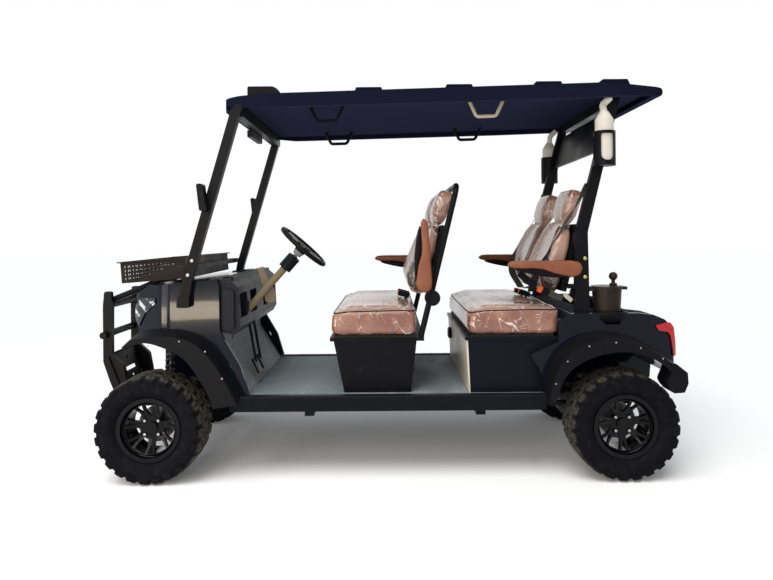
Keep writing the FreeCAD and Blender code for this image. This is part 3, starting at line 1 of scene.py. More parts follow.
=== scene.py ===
# %% [markdown]
# # A four-seat golf cart, dressed for its portrait
# The cart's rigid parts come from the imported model: frame, body, roof, posts and wheels. This script gives
# them finishes, and builds what a solid can't show well: stuffed seats under clear film, tyre tread, webbing,
# springs and small fasteners. Everything is in metres in one frame: +X is forward, +Y left, +Z up.

import math
from functools import partialmethod

import bmesh
import bpy
import numpy as np
from mathutils import Matrix, Vector


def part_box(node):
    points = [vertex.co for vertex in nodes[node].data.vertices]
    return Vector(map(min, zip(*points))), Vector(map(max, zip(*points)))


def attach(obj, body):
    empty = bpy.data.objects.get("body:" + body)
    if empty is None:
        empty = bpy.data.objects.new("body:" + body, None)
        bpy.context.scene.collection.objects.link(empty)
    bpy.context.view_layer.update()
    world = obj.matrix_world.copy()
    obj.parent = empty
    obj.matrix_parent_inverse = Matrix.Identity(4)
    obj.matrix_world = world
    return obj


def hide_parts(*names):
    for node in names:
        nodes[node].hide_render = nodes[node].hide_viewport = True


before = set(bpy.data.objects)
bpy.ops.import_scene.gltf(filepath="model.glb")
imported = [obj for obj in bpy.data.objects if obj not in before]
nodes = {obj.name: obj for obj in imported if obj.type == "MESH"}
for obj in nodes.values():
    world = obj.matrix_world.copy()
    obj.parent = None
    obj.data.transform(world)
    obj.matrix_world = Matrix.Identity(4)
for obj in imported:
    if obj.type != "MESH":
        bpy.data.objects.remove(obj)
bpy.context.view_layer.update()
scene = bpy.context.scene

# %% [markdown]
# The photograph was taken from the cart's left side with a level camera, a little above seat height. Verticals
# stay upright there, so the picture was framed by shifting the lens and not by tilting it. A small roll of
# under a degree lifts the right side. Blender's camera has the same controls.

# %% Camera
CAMERA_PLACE = Vector((-0.077, 3.92, 1.292))
CAMERA_LENS = 29.39
CAMERA_ROLL = math.radians(-0.45)
CAMERA_SHIFT = (-0.0032, -0.0712)


def make_camera():
    """Camera that looks along -Y, rolled about its own axis and framed by lens shift."""
    data = bpy.data.cameras.new("portrait")
    data.sensor_width = 36.0
    data.lens = CAMERA_LENS
    data.shift_x, data.shift_y = CAMERA_SHIFT
    data.clip_start = 0.05
    data.clip_end = 200.0
    camera = bpy.data.objects.new("portrait", data)
    scene.collection.objects.link(camera)
    level = (Vector((0, -1, 0))).to_track_quat("-Z", "Y").to_matrix().to_4x4()
    camera.matrix_world = Matrix.Translation(CAMERA_PLACE) @ level @ Matrix.Rotation(CAMERA_ROLL, 4, "Z")
    scene.camera = camera
    print("camera at", tuple(round(v, 3) for v in camera.location))


make_camera()

# %% [markdown]
# Materials, node groups and the sky are all trees of nodes. A node's input sockets take plain values or the
# outputs of other nodes. One helper adds a node and fills its sockets, and short words for the usual sums
# keep the finishes below easy to read.

# %% Node tools


class Wires:
    """Short ways to add, fill and join the nodes of one tree."""

    def __init__(self, tree):
        self.tree = tree

    def join(self, source, target):
        """Link an output to an input."""
        self.tree.links.new(source, target)

    def fill(self, node, sockets):
        """Join each socket to the output given for it, or set it to the plain value."""
        for label, value in sockets.items():
            if isinstance(value, bpy.types.NodeSocket):
                self.join(value, node.inputs[label])
            else:
                node.inputs[label].default_value = value

    def feed(self, **sockets):
        """Fill the Principled BSDF's sockets by name, with _ for each space."""
        self.fill(self.tree.nodes["Principled BSDF"], {k.replace("_", " "): v for k, v in sockets.items()})

    def add(self, kind, sockets=None, **settings):
        """New shader node with its settings made and its sockets filled."""
        node = self.tree.nodes.new("ShaderNode" + kind)
        for label, value in settings.items():
            setattr(node, label, value)
        self.fill(node, sockets or {})
        return node

    def maths(self, operation, *values, clamp=False):
        """One sum of numbers or outputs; clamp keeps the result between 0 and 1."""
        return self.add("Math", dict(enumerate(values)), operation=operation, use_clamp=clamp).outputs[0]

    plus = partialmethod(maths, "ADD")
    minus = partialmethod(maths, "SUBTRACT")
    times = partialmethod(maths, "MULTIPLY")
    over = partialmethod(maths, "GREATER_THAN")
    under = partialmethod(maths, "LESS_THAN")
    absolute = partialmethod(maths, "ABSOLUTE")

    def noise(self, vector, scale, detail=2.0, rough=0.5, distortion=0.0):
        """Smooth noise in space that wanders about 0.5; scale is about its lumps per metre."""
        sockets = {
            "Vector": vector, "Scale": scale, "Detail": detail, "Roughness": rough, "Distortion": distortion}
        return self.add("TexNoise", sockets).outputs["Fac"]

    def ramp(self, value, low, high, to_low=0.0, to_high=1.0):
        """Map a value from low..high to to_low..to_high by a smooth step, clamped."""
        sockets = {"Value": value, "From Min": low, "From Max": high, "To Min": to_low, "To Max": to_high}
        return self.add("MapRange", sockets, interpolation_type="SMOOTHSTEP").outputs["Result"]

    def stretch(self, vector, scale, turn=(0, 0, 0), kind="POINT"):
        """Places turned and scaled; TEXTURE turns and scales the pattern and not the places."""
        sockets = {"Vector": vector, "Scale": scale, "Rotation": turn}
        return self.add("Mapping", sockets, vector_type=kind).outputs[0]

    def axes(self, vector):
        """X, Y and Z of a vector."""
        return self.add("SeparateXYZ", {0: vector}).outputs

    def blend(self, factor, first, second):
        """Mix two colours; each is a tuple or a socket."""
        return self.add("Mix", {0: factor, 6: first, 7: second}, data_type="RGBA").outputs[2]

    def group(self, group, **values):
        """Node group placed in this tree with its own values; gives its outputs."""
        return self.add("Group", values, node_tree=group).outputs

    def bump(self, height, strength, distance):
        """Normal tilted by the slope of a height; a height of 1 stands for the given distance."""
        return self.add("Bump", {"Height": height, "Strength": strength, "Distance": distance}).outputs[0]


# %% [markdown]
# A finish starts from one function: base colour, roughness and the other plain numbers go straight on the
# Principled BSDF. It keeps each material by its name, so that a piece can ask for it later.

# %% Plain materials
SHINE = 0.08
skins = {}


def blank(name, colour, rough, **sockets):
    """New material with plain numbers on its shader; gives its wires, Object place and normal."""
    material = skins[name] = bpy.data.materials.new(name)
    material.use_nodes = True
    wires = Wires(material.node_tree)
    wires.feed(Base_Color=(*colour, 1), Roughness=rough, Specular_IOR_Level=SHINE)
    wires.feed(**sockets)
    coordinates = wires.add("TexCoord").outputs
    return wires, coordinates["Object"], coordinates["Normal"]


# %% [markdown]
# A plain white studio: a large soft sun from above and behind the camera, and a pale sky that fills the
# shadows. The camera and reflections see a pure white sky, while the light that falls on the cart stays at
# a plain level. Light Path tells the shader which kind of ray asks. Two low cards show only in glossy paint,
# where the real cart mirrors dry ground.

# %% Studio
SKY_STRENGTH = 0.36
FLOOR_COLOUR = (0.92, 0.92, 0.92)
FLOOR_LIFT = 0.065
FLOOR_HALF = 40.0
CARD_TAN = (1.0, 0.86, 0.64)


def make_sky():
    """Pure white for camera, glossy and transmitted rays; a plain pale light for all the others."""
    world = scene.world = bpy.data.worlds.new("studio_sky")
    world.use_nodes = True
    wires = Wires(world.node_tree)
    wires.tree.nodes.clear()
    seen = wires.add("Background", {"Color": (1, 1, 1, 1)})
    lit = wires.add("Background", {"Color": (0.93, 0.96, 1.0, 1), "Strength": SKY_STRENGTH})
    rays = wires.add("LightPath").outputs
    either = wires.maths("MAXIMUM", rays["Is Camera Ray"], rays["Is Glossy Ray"])
    clear = wires.maths("MAXIMUM", either, rays["Is Transmission Ray"])
    mix = wires.add("MixShader", {0: clear, 1: lit.outputs[0], 2: seen.outputs[0]})
    wires.add("OutputWorld", {"Surface": mix.outputs[0]})


def piece_from(name, mesh):
    """New object with this mesh, at the origin."""
    piece = bpy.data.objects.new(name, mesh)
    scene.collection.objects.link(piece)
    return piece


def make_floor():
    """Wide pale floor; a little of its own light, for camera rays alone, keeps it as pale as the sky."""
    far = FLOOR_HALF
    mesh = bpy.data.meshes.new("studio_floor")
    mesh.from_pydata([(-far, -far, 0), (far, -far, 0), (far, far, 0), (-far, far, 0)], [], [(0, 1, 2, 3)])
    wires, place, normal = blank(
        "studio_paper", FLOOR_COLOUR, 0.9, Specular_IOR_Level=0.0, Emission_Color=(1, 1, 1, 1))
    wires.feed(Emission_Strength=wires.times(wires.add("LightPath").outputs["Is Camera Ray"], FLOOR_LIFT))
    mesh.materials.append(skins["studio_paper"])
    piece_from("studio_floor", mesh)


def make_lamp(name, kind, energy, place, towards, size, colour=(1, 1, 1), mirrored_only=False):
    """Lamp aimed at a point. One that is mirrored only shows in glossy paint, as dry ground would."""
    data = bpy.data.lights.new(name, kind)
    data.energy = energy
    data.color = colour
    if kind == "SUN":
        data.angle = size
    else:
        data.shape = "RECTANGLE"
        data.size, data.size_y = size
    lamp = bpy.data.objects.new(name, data)
    scene.collection.objects.link(lamp)
    way = Vector(towards) - Vector(place)
    lamp.matrix_world = Matrix.Translation(place) @ way.to_track_quat("-Z", "Y").to_matrix().to_4x4()
    lamp.visible_camera = False
    lamp.visible_diffuse = not mirrored_only


make_sky()
make_floor()
make_lamp("soft_sun", "SUN", 2.3, (1.5, 3.0, 7.0), (0, 0, 0), math.radians(40))
make_lamp("side_box", "AREA", 70.0, (1.2, 4.6, 2.4), (0, 0, 0.8), (3.0, 2.0), (1.0, 0.93, 0.84))
make_lamp("front_fill", "AREA", 26.0, (3.4, 2.2, 1.3), (-0.6, 0.1, 0.6), (1.6, 1.6), (1.0, 0.97, 0.93))
make_lamp("ground_card", "AREA", 130.0, (3.3, 6.9, 0.10), (0.8, 0, 0.3), (3.4, 0.36), CARD_TAN, True)
make_lamp("nose_card", "AREA", 60.0, (6.6, 3.6, 0.10), (0.8, 0, 0.3), (3.0, 0.30), CARD_TAN, True)
scene.view_settings.view_transform = "Standard"
print("studio ready:", len(bpy.data.lights), "lamps")

# %% [markdown]
# Effects that many finishes share are node groups with their own inputs: moulded grain, dust that settles on
# upward faces, and the creases of clear film. A group gives out only masks and heights. The shader itself
# stays in each material, where its plain numbers are set. Plastic and powder coat both have a fine grain, at
# different scales: a pebbled height, and a slower patchiness that varies the gloss.

# %% Grain group


def new_group(name, vectors, numbers, results):
    """Group with named vector inputs, number inputs and number outputs; gives its wires and both ends."""
    group = bpy.data.node_groups.new(name, "ShaderNodeTree")
    kinds = ((vectors, "INPUT", "Vector"), (numbers, "INPUT", "Float"), (results, "OUTPUT", "Float"))
    for labels, way, kind in kinds:
        for label in labels:
            group.interface.new_socket(name=label, in_out=way, socket_type="NodeSocket" + kind)
    start = group.nodes.new("NodeGroupInput")
    end = group.nodes.new("NodeGroupOutput")
    return Wires(group), start.outputs, end


def make_grain():
    """Height is a fine noise; Patches is a noise fifty times as wide."""
    wires, start, end = new_group("moulded_grain", ["Place"], ["Scale"], ["Height", "Patches"])
    pebbles = wires.noise(start["Place"], start["Scale"], 3.0, 0.6)
    patches = wires.noise(start["Place"], wires.times(start["Scale"], 0.02), 4.0, 0.6)
    wires.fill(end, {"Height": pebbles, "Patches": patches})
    return wires.tree


grain_group = make_grain()
print("groups:", len(bpy.data.node_groups))

# %% [markdown]
# Dust lies on faces that look up and fades where they turn over. The object normal's Z gives that, broken up
# by noise so that it never looks sprayed on.

# %% Dust group


def make_dust():
    """Mask = upward facing times cloudy noise times fine specks, times the amount."""
    wires, start, end = new_group("settled_dust", ["Place", "Normal"], ["Amount"], ["Mask"])
    facing = wires.ramp(wires.axes(start["Normal"])[2], 0.2, 1.0)
    cloud = wires.ramp(wires.noise(start["Place"], 7.0, 6.0, 0.65), 0.35, 0.75)
    speck = wires.ramp(wires.noise(start["Place"], 160.0, 2.0, 0.5), 0.45, 0.7, 0.55, 1.0)
    mask = wires.times(wires.times(facing, cloud), speck)
    wires.fill(end, {"Mask": wires.times(mask, start["Amount"], clamp=True)})
    return wires.tree


dust_group = make_dust()
print("groups:", len(bpy.data.node_groups))

# %% [markdown]
# The seats still wear their clear film. Along thin wandering folds that run mostly one way, its glints are
# painted into the colour as bright lines. Each fold is the line where a stretched noise crosses its middle
# value.
# A slower noise decides where the folds gather, and a finer set crosses the first one.

# %% Film group
FOLD_SETS = (((0.25, 0.45, 0.1), 5.5, 1.0, 0.44), ((-0.5, -0.7, 0.4), 4.0, 1.7, 0.50))


def make_film():
    """A fold's strength is one minus the noise's distance from its middle value over the fold's width."""
    wires, start, end = new_group(
        "crinkled_film", ["Place"], ["Scale", "Width", "Gather"], ["Glints", "Height", "Patches"])
    place = start["Place"]
    folds = []
    for turn, length, factor, low in FOLD_SETS:
        slanted = wires.stretch(place, (1, 1, length), turn, "TEXTURE")
        value = wires.noise(slanted, wires.times(start["Scale"], factor), 2.0, 0.45, 0.5)
        off = wires.absolute(wires.minus(value, 0.5))
        thin = wires.minus(1.0, wires.maths("DIVIDE", off, start["Width"]), clamp=True)
        wide = wires.ramp(off, 0.0, 0.07, 1.0, 0.0)
        slow = wires.noise(wires.stretch(place, (1.0 + factor, 1.3, 1.0)), 7.0, 2.0)
        where = wires.ramp(slow, low, low + 0.12)
        folds.append((wires.times(thin, where), wires.times(wide, where)))
    fine = wires.times(folds[1][0], start["Gather"])
    wires.fill(end, {
        "Glints": wires.maths("MAXIMUM", folds[0][0], fine),
        "Height": wires.plus(folds[0][1], wires.times(folds[1][1], 0.5)),
        "Patches": wires.noise(place, 5.0, 4.0, 0.6),
    })
    return wires.tree


film_group = make_film()
print("groups:", len(bpy.data.node_groups))

# %% [markdown]
# Most parts of the cart are moulded plastic, powder-coated steel or bare metal. They differ in colour, gloss,
# grain and dust, so one maker serves them all. Some take their base colour from a paint function instead.

# %% Moulded finishes
DUST = (0.20, 0.18, 0.15, 1)


def moulded(name, colour, rough, grain=500.0, height=0.0002, spread=0.12, dust=0.0, paint=None, **sockets):
    """Finish with grain, patchy gloss and a little dust. paint(wires, place) may give another base colour."""
    wires, place, normal = blank(name, colour, rough, **sockets)
    heights = wires.group(grain_group, Place=place, Scale=grain)
    gloss = wires.ramp(heights["Patches"], 0.3, 0.7, rough - spread / 2, rough + spread / 2)
    if paint:
        base = paint(wires, place)
    else:
        lighter = tuple(min(1.0, c * 1.5 + 0.004) for c in colour)
        base = wires.blend(wires.ramp(heights["Patches"], 0.35, 0.75, 0.0, 0.25), (*colour, 1), (*lighter, 1))
    if dust:
        mask = wires.group(dust_group, Place=place, Normal=normal, Amount=dust)["Mask"]
        base = wires.blend(mask, base, DUST)
        gloss = wires.plus(gloss, wires.times(mask, 0.5), clamp=True)
    wires.feed(Base_Color=base, Roughness=gloss, Normal=wires.bump(heights["Height"], 0.5, height))


def worn_by(wearers, name):
    """Put a finish on CAD nodes, given in one string."""
    for node in wearers.split():
        mesh = nodes[node].data
        mesh.materials.clear()
        mesh.materials.append(skins[name])


def dress(wearers, name, *numbers, **sockets):
    """Make a moulded finish and put it on the CAD nodes that wear it."""
    moulded(name, *numbers, **sockets)
    worn_by(wearers, name)


dress("front_flares rear_flares", "flare_skin", (0.0045, 0.0045, 0.006), 0.50, 420, 0.0003, 0.14, 0.02,
      Specular_IOR_Level=0.08)
dress("side_sills", "sill_skin", (0.006, 0.0065, 0.009), 0.45, 300, 0.0002, 0.12, 0.02,
      Specular_IOR_Level=0.05)
dress("chassis_frame front_wishbones bull_bar front_posts rear_posts front_seat_frame rear_seat_frame pedals",
      "powder_coat", (0.004, 0.004, 0.005), 0.38, 260, 0.0002, 0.12, 0.04)
dress("cargo_basket", "basket_coat", (0.014, 0.010, 0.009), 0.42, 260, 0.0002, 0.14, 0.05)
dress("dashboard", "dash_skin", (0.010, 0.0105, 0.014), 0.45, 600, 0.0002, 0.08, 0.0, Specular_IOR_Level=0.10)
dress("roof_pod light_bar side_mirrors bottle_holders front_seat_base seat_belts",
      "trim_skin", (0.0035, 0.0035, 0.005), 0.42, 600, 0.0002, 0.10, 0.02)
dress("rear_axle steering_gear tie_rods knuckle_left knuckle_right",
      "raw_steel", (0.10, 0.10, 0.105), 0.42, 90, 0.0001, 0.18, 0.0, Metallic=0.8)
dress("rear_leaf_springs front_coil_overs",
      "spring_paint", (0.010, 0.010, 0.011), 0.42, 200, 0.0002, 0.14, 0.06, Specular_IOR_Level=0.4)
dress("battery_pack", "case_skin", (0.03, 0.03, 0.033), 0.6, 200, 0.0002, 0.1, 0.1)
dress("ball_washer", "bronze_coat", (0.022, 0.016, 0.012), 0.32, 220, 0.0002, 0.12, 0.05, Metallic=0.3)
dress("seat_boards", "board_paint", (0.012, 0.011, 0.010), 0.6, 60, 0.0004, 0.1)
dress("sand_bottles", "bottle_cream", (0.66, 0.62, 0.54), 0.38, 120, 0.0002, 0.1, 0.04, Subsurface_Weight=0.1)
dress("rim_front_left rim_front_right rim_rear_left rim_rear_right",
      "wheel_gloss", (0.002, 0.002, 0.003), 0.16, 40, 0.0001, 0.06, 0.02,
      Specular_IOR_Level=0.10, Coat_Weight=0.12, Coat_Roughness=0.04)
dress("tail_lights", "red_lens", (0.45, 0.006, 0.010), 0.12, 300, 0.0001, 0.04, 0.0, Coat_Weight=0.8)
moulded("bolt_steel", (0.34, 0.34, 0.35), 0.4, 300, 0.00005, 0.1, 0.0, Metallic=1.0)
moulded("brass_zinc", (0.42, 0.36, 0.14), 0.35, 300, 0.00005, 0.1, 0.0, Metallic=0.9)
moulded("red_latch", (0.55, 0.02, 0.015), 0.35, 300, 0.0001)
moulded("tongue_pale", (0.62, 0.57, 0.40), 0.4, 300, 0.0001)
moulded("orange_button", (0.80, 0.10, 0.02), 0.35, 300, 0.0001)
moulded("webbing", (0.060, 0.058, 0.048), 0.6, 1400, 0.0006, 0.1)
print("finishes:", len(skins))

# %% [markdown]
# The floor mat is ribbed across the cart, worn grey-green and streaked with dust. The ribs are a fine wave
# along X, pressed in by bump, and their tops catch more dust than the grooves.

# %% Mat finish
RIB_PITCH = 0.016


def make_mat():
    """Rib height is the absolute sine of x over the pitch; dust lies where wear, specks and rib tops meet."""
    wires, place, normal = blank("ribbed_mat", (0.055, 0.062, 0.062), 0.7)
    ribs = wires.absolute(wires.maths("SINE", wires.times(wires.axes(place)[0], math.pi / RIB_PITCH)))
    wear = wires.ramp(wires.noise(wires.stretch(place, (1.0, 0.35, 1.0)), 9.0, 6.0, 0.7), 0.35, 0.70)
    fine = wires.ramp(wires.noise(place, 240.0, 2.0), 0.4, 0.7, 0.5, 1.0)
    dusty = wires.times(wires.times(wear, fine), wires.ramp(ribs, 0.2, 0.9, 0.25, 0.62))
    wires.feed(
        Base_Color=wires.blend(dusty, (0.145, 0.172, 0.185, 1), (0.42, 0.46, 0.47, 1)),
        Roughness=wires.ramp(wear, 0, 1, 0.55, 0.85),
        Normal=wires.bump(ribs, 0.8, 0.002),
    )


make_mat()
worn_by("floor_mat", "ribbed_mat")
print("ribs on the mat every", RIB_PITCH, "m")

# %% [markdown]
# Tyre rubber is a dull black, browner and paler where the tread has picked up dry soil. The tread is where the
# distance from the nearer axle is large: the two axles lie at one reach before and behind their middle.

# %% Tyre finish
AXLE_MIDDLE = -0.059
AXLE_REACH = 1.245
AXLE_RISE = 0.283


def make_rubber():
    """Crown mask from the distance to the nearer axle: root of (|x - middle| - reach)^2 + (z - rise)^2."""
    wires, place, normal = blank("tread_rubber", (0.02, 0.02, 0.021), 0.72, Specular_IOR_Level=0.03)
    heights = wires.group(grain_group, Place=place, Scale=300.0)
    x, y, z = wires.axes(place)
    ahead = wires.minus(wires.absolute(wires.minus(x, AXLE_MIDDLE)), AXLE_REACH)
    above = wires.minus(z, AXLE_RISE)
    square = wires.plus(wires.times(ahead, ahead), wires.times(above, above))
    crown = wires.ramp(wires.maths("SQRT", square), 0.266, 0.283)
    worn = wires.times(crown, wires.ramp(wires.noise(place, 60.0, 4.0, 0.6), 0.35, 0.6, 0.3, 1.0))
    soil = wires.ramp(wires.noise(place, 26.0, 5.0, 0.7), 0.45, 0.72)
    base = wires.blend(wires.times(soil, 0.16), (0.006, 0.006, 0.0075, 1), (0.042, 0.039, 0.035, 1))
    wires.feed(
        Base_Color=wires.blend(wires.times(worn, 0.8), base, (0.105, 0.098, 0.078, 1)),
        Roughness=wires.ramp(heights["Patches"], 0.3, 0.7, 0.60, 0.82),
        Normal=wires.bump(heights["Height"], 0.5, 0.0004),
    )


make_rubber()
print("axles at", [round(AXLE_MIDDLE + side * AXLE_REACH, 3) for side in (1, -1)])

# %% [markdown]
# Several solids have two colours: the rear seat box has a cream front on black sides, the steering column an
# olive tube below a black clamp, one grab handle is cream, the deck has a grey toe board, and the steering
# wheel grey spokes. A mask from Object coordinates splits each one. The roof's faces that look down are painted
# a paler navy, painted light bounced up from the floor.

# %% Two-colour finishes
CREAM = (0.62, 0.57, 0.46, 1)
OLIVE = (0.21, 0.165, 0.105, 1)
BLACK = (0.008, 0.008, 0.009, 1)
PANEL_FOOT_X = -0.501
PANEL_FOOT_Z = 0.440
PANEL_LEAN = 0.0425
PANEL_DEPTH = 0.009
PANEL_RIM = 0.7215
COLUMN_TOP = (0.415, 1.229)
COLUMN_LEAN = math.radians(48)
CLAMP_END = 0.17
STEERING_Y = 0.29
SPOKES_FROM, SPOKES_TO = 0.048, 0.137
HANDLE_SPLIT_X = -0.3
DECK_EDGE_X = 0.688
TOE_BOARD_TOP = 0.79


def panel_paint(wires, place):
    """Cream in front of the leaning plane just behind the front panel's face, and below the rim."""
    x, y, z = wires.axes(place)
    plane = wires.maths("MULTIPLY_ADD", z, PANEL_LEAN, PANEL_FOOT_X - PANEL_FOOT_Z * PANEL_LEAN - PANEL_DEPTH)
    face = wires.times(wires.over(x, plane), wires.under(z, PANEL_RIM))
    stain = wires.ramp(wires.noise(place, 11.0, 5.0, 0.65), 0.45, 0.8, 0.0, 0.35)
    return wires.blend(face, (0.005, 0.006, 0.011, 1), wires.blend(stain, CREAM, (0.48, 0.44, 0.36, 1)))


def column_paint(wires, place):
    """Black above the clamp's end, olive below it, measured down the column."""
    x, y, z = wires.axes(place)
    across = wires.times(wires.minus(x, COLUMN_TOP[0]), math.cos(COLUMN_LEAN))
    down = wires.times(wires.minus(z, COLUMN_TOP[1]), -math.sin(COLUMN_LEAN))
    return wires.blend(wires.over(wires.plus(across, down), CLAMP_END), BLACK, OLIVE)


def handle_paint(wires, place):
    """Cream for the handle at the left rear, black for the rest."""
    x, y, z = wires.axes(place)
    mask = wires.times(wires.under(x, HANDLE_SPLIT_X), wires.over(y, 0.0))
    return wires.blend(mask, (0.006, 0.007, 0.014, 1), (0.48, 0.42, 0.31, 1))


def deck_paint(wires, place):
    """Dusty grey rubber on the toe board ahead of the deck's front edge, black elsewhere."""
    x, y, z = wires.axes(place)
    mask = wires.times(wires.over(x, DECK_EDGE_X), wires.under(z, TOE_BOARD_TOP))
    wear = wires.ramp(wires.noise(place, 60.0, 4.0, 0.6), 0.35, 0.7)
    return wires.blend(mask, BLACK, wires.blend(wear, (0.24, 0.26, 0.27, 1), (0.36, 0.38, 0.38, 1)))


def roof_bounce_paint(wires, place):
    """Navy-black outside; faces that look down are painted a paler navy, painted light bounced up from the
    floor.
    """
    under = wires.ramp(wires.axes(wires.add("TexCoord").outputs["Normal"])[2], -0.9, -0.6, 1.0, 0.0)
    return wires.blend(under, (0.0085, 0.010, 0.022, 1), (0.026, 0.029, 0.060, 1))


def wheel_paint(wires, place):
    """Grey moulded spokes between the hub and the grip of the steering wheel, by distance from its middle."""
    middle = (COLUMN_TOP[0], STEERING_Y, COLUMN_TOP[1])
    far = wires.add("VectorMath", {0: place, 1: middle}, operation="DISTANCE").outputs["Value"]
    mask = wires.times(wires.over(far, SPOKES_FROM), wires.under(far, SPOKES_TO))
    return wires.blend(mask, (0.006, 0.006, 0.006, 1), (0.22, 0.22, 0.23, 1))


def lens_glint_paint(wires, place):
    """Dark lens crossed by painted reflections of its reflector: bright slanted bands from a sine along the
    turned Z, broken by noise.
    """
    x, y, z = wires.axes(wires.stretch(place, (1.0, 0.6, 1.0), (0.0, 0.65, 0.0)))
    bars = wires.maths("SINE", wires.times(z, 105.0))
    broken = wires.ramp(wires.noise(place, 26.0, 2.0), 0.46, 0.56)
    mask = wires.times(wires.ramp(bars, 0.2, 0.7), broken)
    return wires.blend(mask, (0.012, 0.013, 0.015, 1), (0.55, 0.57, 0.58, 1))


dress("roof", "roof_skin", (0.01, 0.01, 0.02), 0.50, 350, 0.0002, 0.10, 0.0, roof_bounce_paint,
      Specular_IOR_Level=0.0)
dress("floor_deck", "deck_skin", (0.02, 0.02, 0.02), 0.6, 300, 0.0004, 0.14, 0.0, deck_paint)
dress("steering_wheel", "grip_skin", (0.01, 0.01, 0.01), 0.45, 900, 0.0003, 0.12, 0.0, wheel_paint)
dress("headlights", "clear_lens", (0.1, 0.1, 0.1), 0.08, 300, 0.0001, 0.04, 0.0, lens_glint_paint, Coat_Weight=0.8)
dress("rear_seat_base", "seat_box_skin", (0.01, 0.012, 0.02), 0.36, 300, 0.0002, 0.1, 0.05, panel_paint)
dress("steering_column", "column_coat", (0.02, 0.02, 0.02), 0.40, 260, 0.0002, 0.1, 0.02, column_paint)
dress("grab_handles", "handle_skin", (0.02, 0.02, 0.02), 0.42, 500, 0.0002, 0.1, 0.0, handle_paint,
      Specular_IOR_Level=0.03)
print("finishes:", len(skins))

# %% [markdown]
# The body is navy-black gloss paint, which looks dark where it mirrors nothing and tan where it mirrors the
# ground. The shelf behind the rear cushion is matt, so a mask dulls the upward faces there.

# %% Body paint
BODY_NAVY = (0.004, 0.0055, 0.012)
SHELF_FRONT = -0.9
SHELF_SIDE = 0.54


def make_body_paint():
    """Gloss navy-black paint; the shelf round the bag well, behind the rear cushion, is matt."""
    wires, place, normal = blank("body_paint", BODY_NAVY, 0.12, Specular_IOR_Level=0.07, Coat_Roughness=0.03)
    heights = wires.group(grain_group, Place=place, Scale=40.0)
    dust = wires.group(dust_group, Place=place, Normal=normal, Amount=0.03)["Mask"]
    x, y, z = wires.axes(place)
    up = wires.over(wires.axes(normal)[2], 0.95)
    matt = wires.times(up, wires.times(wires.under(x, SHELF_FRONT), wires.under(y, SHELF_SIDE)))
    wires.feed(
        Base_Color=wires.blend(dust, (*BODY_NAVY, 1), DUST),
        Roughness=wires.ramp(matt, 0.0, 1.0, 0.12, 0.85),
        Coat_Weight=wires.ramp(matt, 0.0, 1.0, 0.18, 0.0),
        Normal=wires.bump(heights["Height"], 0.4, 0.0002),
    )


make_body_paint()
worn_by("front_cowl rear_body", "body_paint")
print("finishes:", len(skins))

# %% [markdown]
# Every new piece is a surface on a grid: an array of points with one row per step of the first parameter and
# one column per step of the second. The columns always close on themselves. The rows close too in a ring, such
# as a tyre, and otherwise each end is capped with a fan.

# %% Grid surface


def surface(name, points, ring=False):
    """Mesh through points[i, j], closed across j; closed along i too in a ring, or else capped at its ends."""
    rows, columns = points.shape[:2]
    i = np.arange(rows if ring else rows - 1)[:, None]
    j = np.arange(columns)[None, :]
    below, beside = (i + 1) % rows, (j + 1) % columns
    quads = np.stack([
        i * columns + j, below * columns + j, below * columns + beside, i * columns + beside], -1)
    places = points.reshape(-1, 3)
    loops = quads.ravel()
    sizes = np.full(quads.size // 4, 4)
    if not ring:
        ends = [np.arange(columns)[::-1], (rows - 1) * columns + np.arange(columns)]
        for order, row in zip(ends, (0, rows - 1)):
            middle = len(places)
            places = np.vstack([places, points[row].mean(0)])
            fan = np.stack([order, np.roll(order, -1), np.full(columns, middle)], -1)
            loops = np.concatenate([loops, fan.ravel()])
            sizes = np.concatenate([sizes, np.full(columns, 3)])
    mesh = bpy.data.meshes.new(name)
    mesh.vertices.add(len(places))
    mesh.vertices.foreach_set("co", places.astype(np.float32).ravel())
    mesh.loops.add(len(loops))
    mesh.loops.foreach_set("vertex_index", loops.astype(np.int32))
    mesh.polygons.add(len(sizes))
    mesh.polygons.foreach_set("loop_start", np.concatenate([[0], np.cumsum(sizes)[:-1]]).astype(np.int32))
    mesh.update(calc_edges=True)
    mesh.validate()
    clean(mesh)
    return piece_from(name, mesh)


def smooth_faces(mesh):
    """Shade every face smooth."""
    mesh.polygons.foreach_set("use_smooth", [True] * len(mesh.polygons))


def clean(mesh):
    """Merge doubled points, turn faces outward and shade smooth."""
    work = bmesh.new()
    work.from_mesh(mesh)
    bmesh.ops.remove_doubles(work, verts=work.verts, dist=1e-6)
    bmesh.ops.recalc_face_normals(work, faces=work.faces)
    work.to_mesh(mesh)
    work.free()
    smooth_faces(mesh)
    mesh.update()


# %% [markdown]
# A finished piece gets its material and the body that it rides on, and the rigid solids that it stands for are
# hidden. Soft pieces are also copied and reshaped, point by point in one array.

# %% Piece tools


def rows_of(values, label):
    """Positions or normals as one row of three each."""
    flat = np.empty(len(values) * 3, np.float32)
    values.foreach_get(label, flat)
    return flat.reshape(-1, 3).astype(float)


def points_of(mesh):
    """Places of all vertices."""
    return rows_of(mesh.vertices, "co")


def normals_of(mesh):
    """Normals of all vertices."""
    return rows_of(mesh.vertex_normals, "vector")


def set_points(mesh, places):
    """Move all vertices to new places."""
    mesh.vertices.foreach_set("co", places.astype(np.float32).ravel())
    mesh.update()


def copy_at(name, piece, shift):
    """A copy with its points moved by a shift; the object itself stays at the origin."""
    copy = piece_from(name, piece.data.copy())
    set_points(copy.data, points_of(copy.data) + np.array(shift))
    return copy


def put(piece, skin, body, slot, *replaced):
    """Give a finished piece its material and body, and hide the nodes that it stands for; slot is not used."""
    piece.data.materials.clear()
    piece.data.materials.append(skins[skin])
    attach(piece, body)
    if replaced:
        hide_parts(*replaced)
    print(piece.name, "on", body + ":", len(piece.data.polygons), "faces")


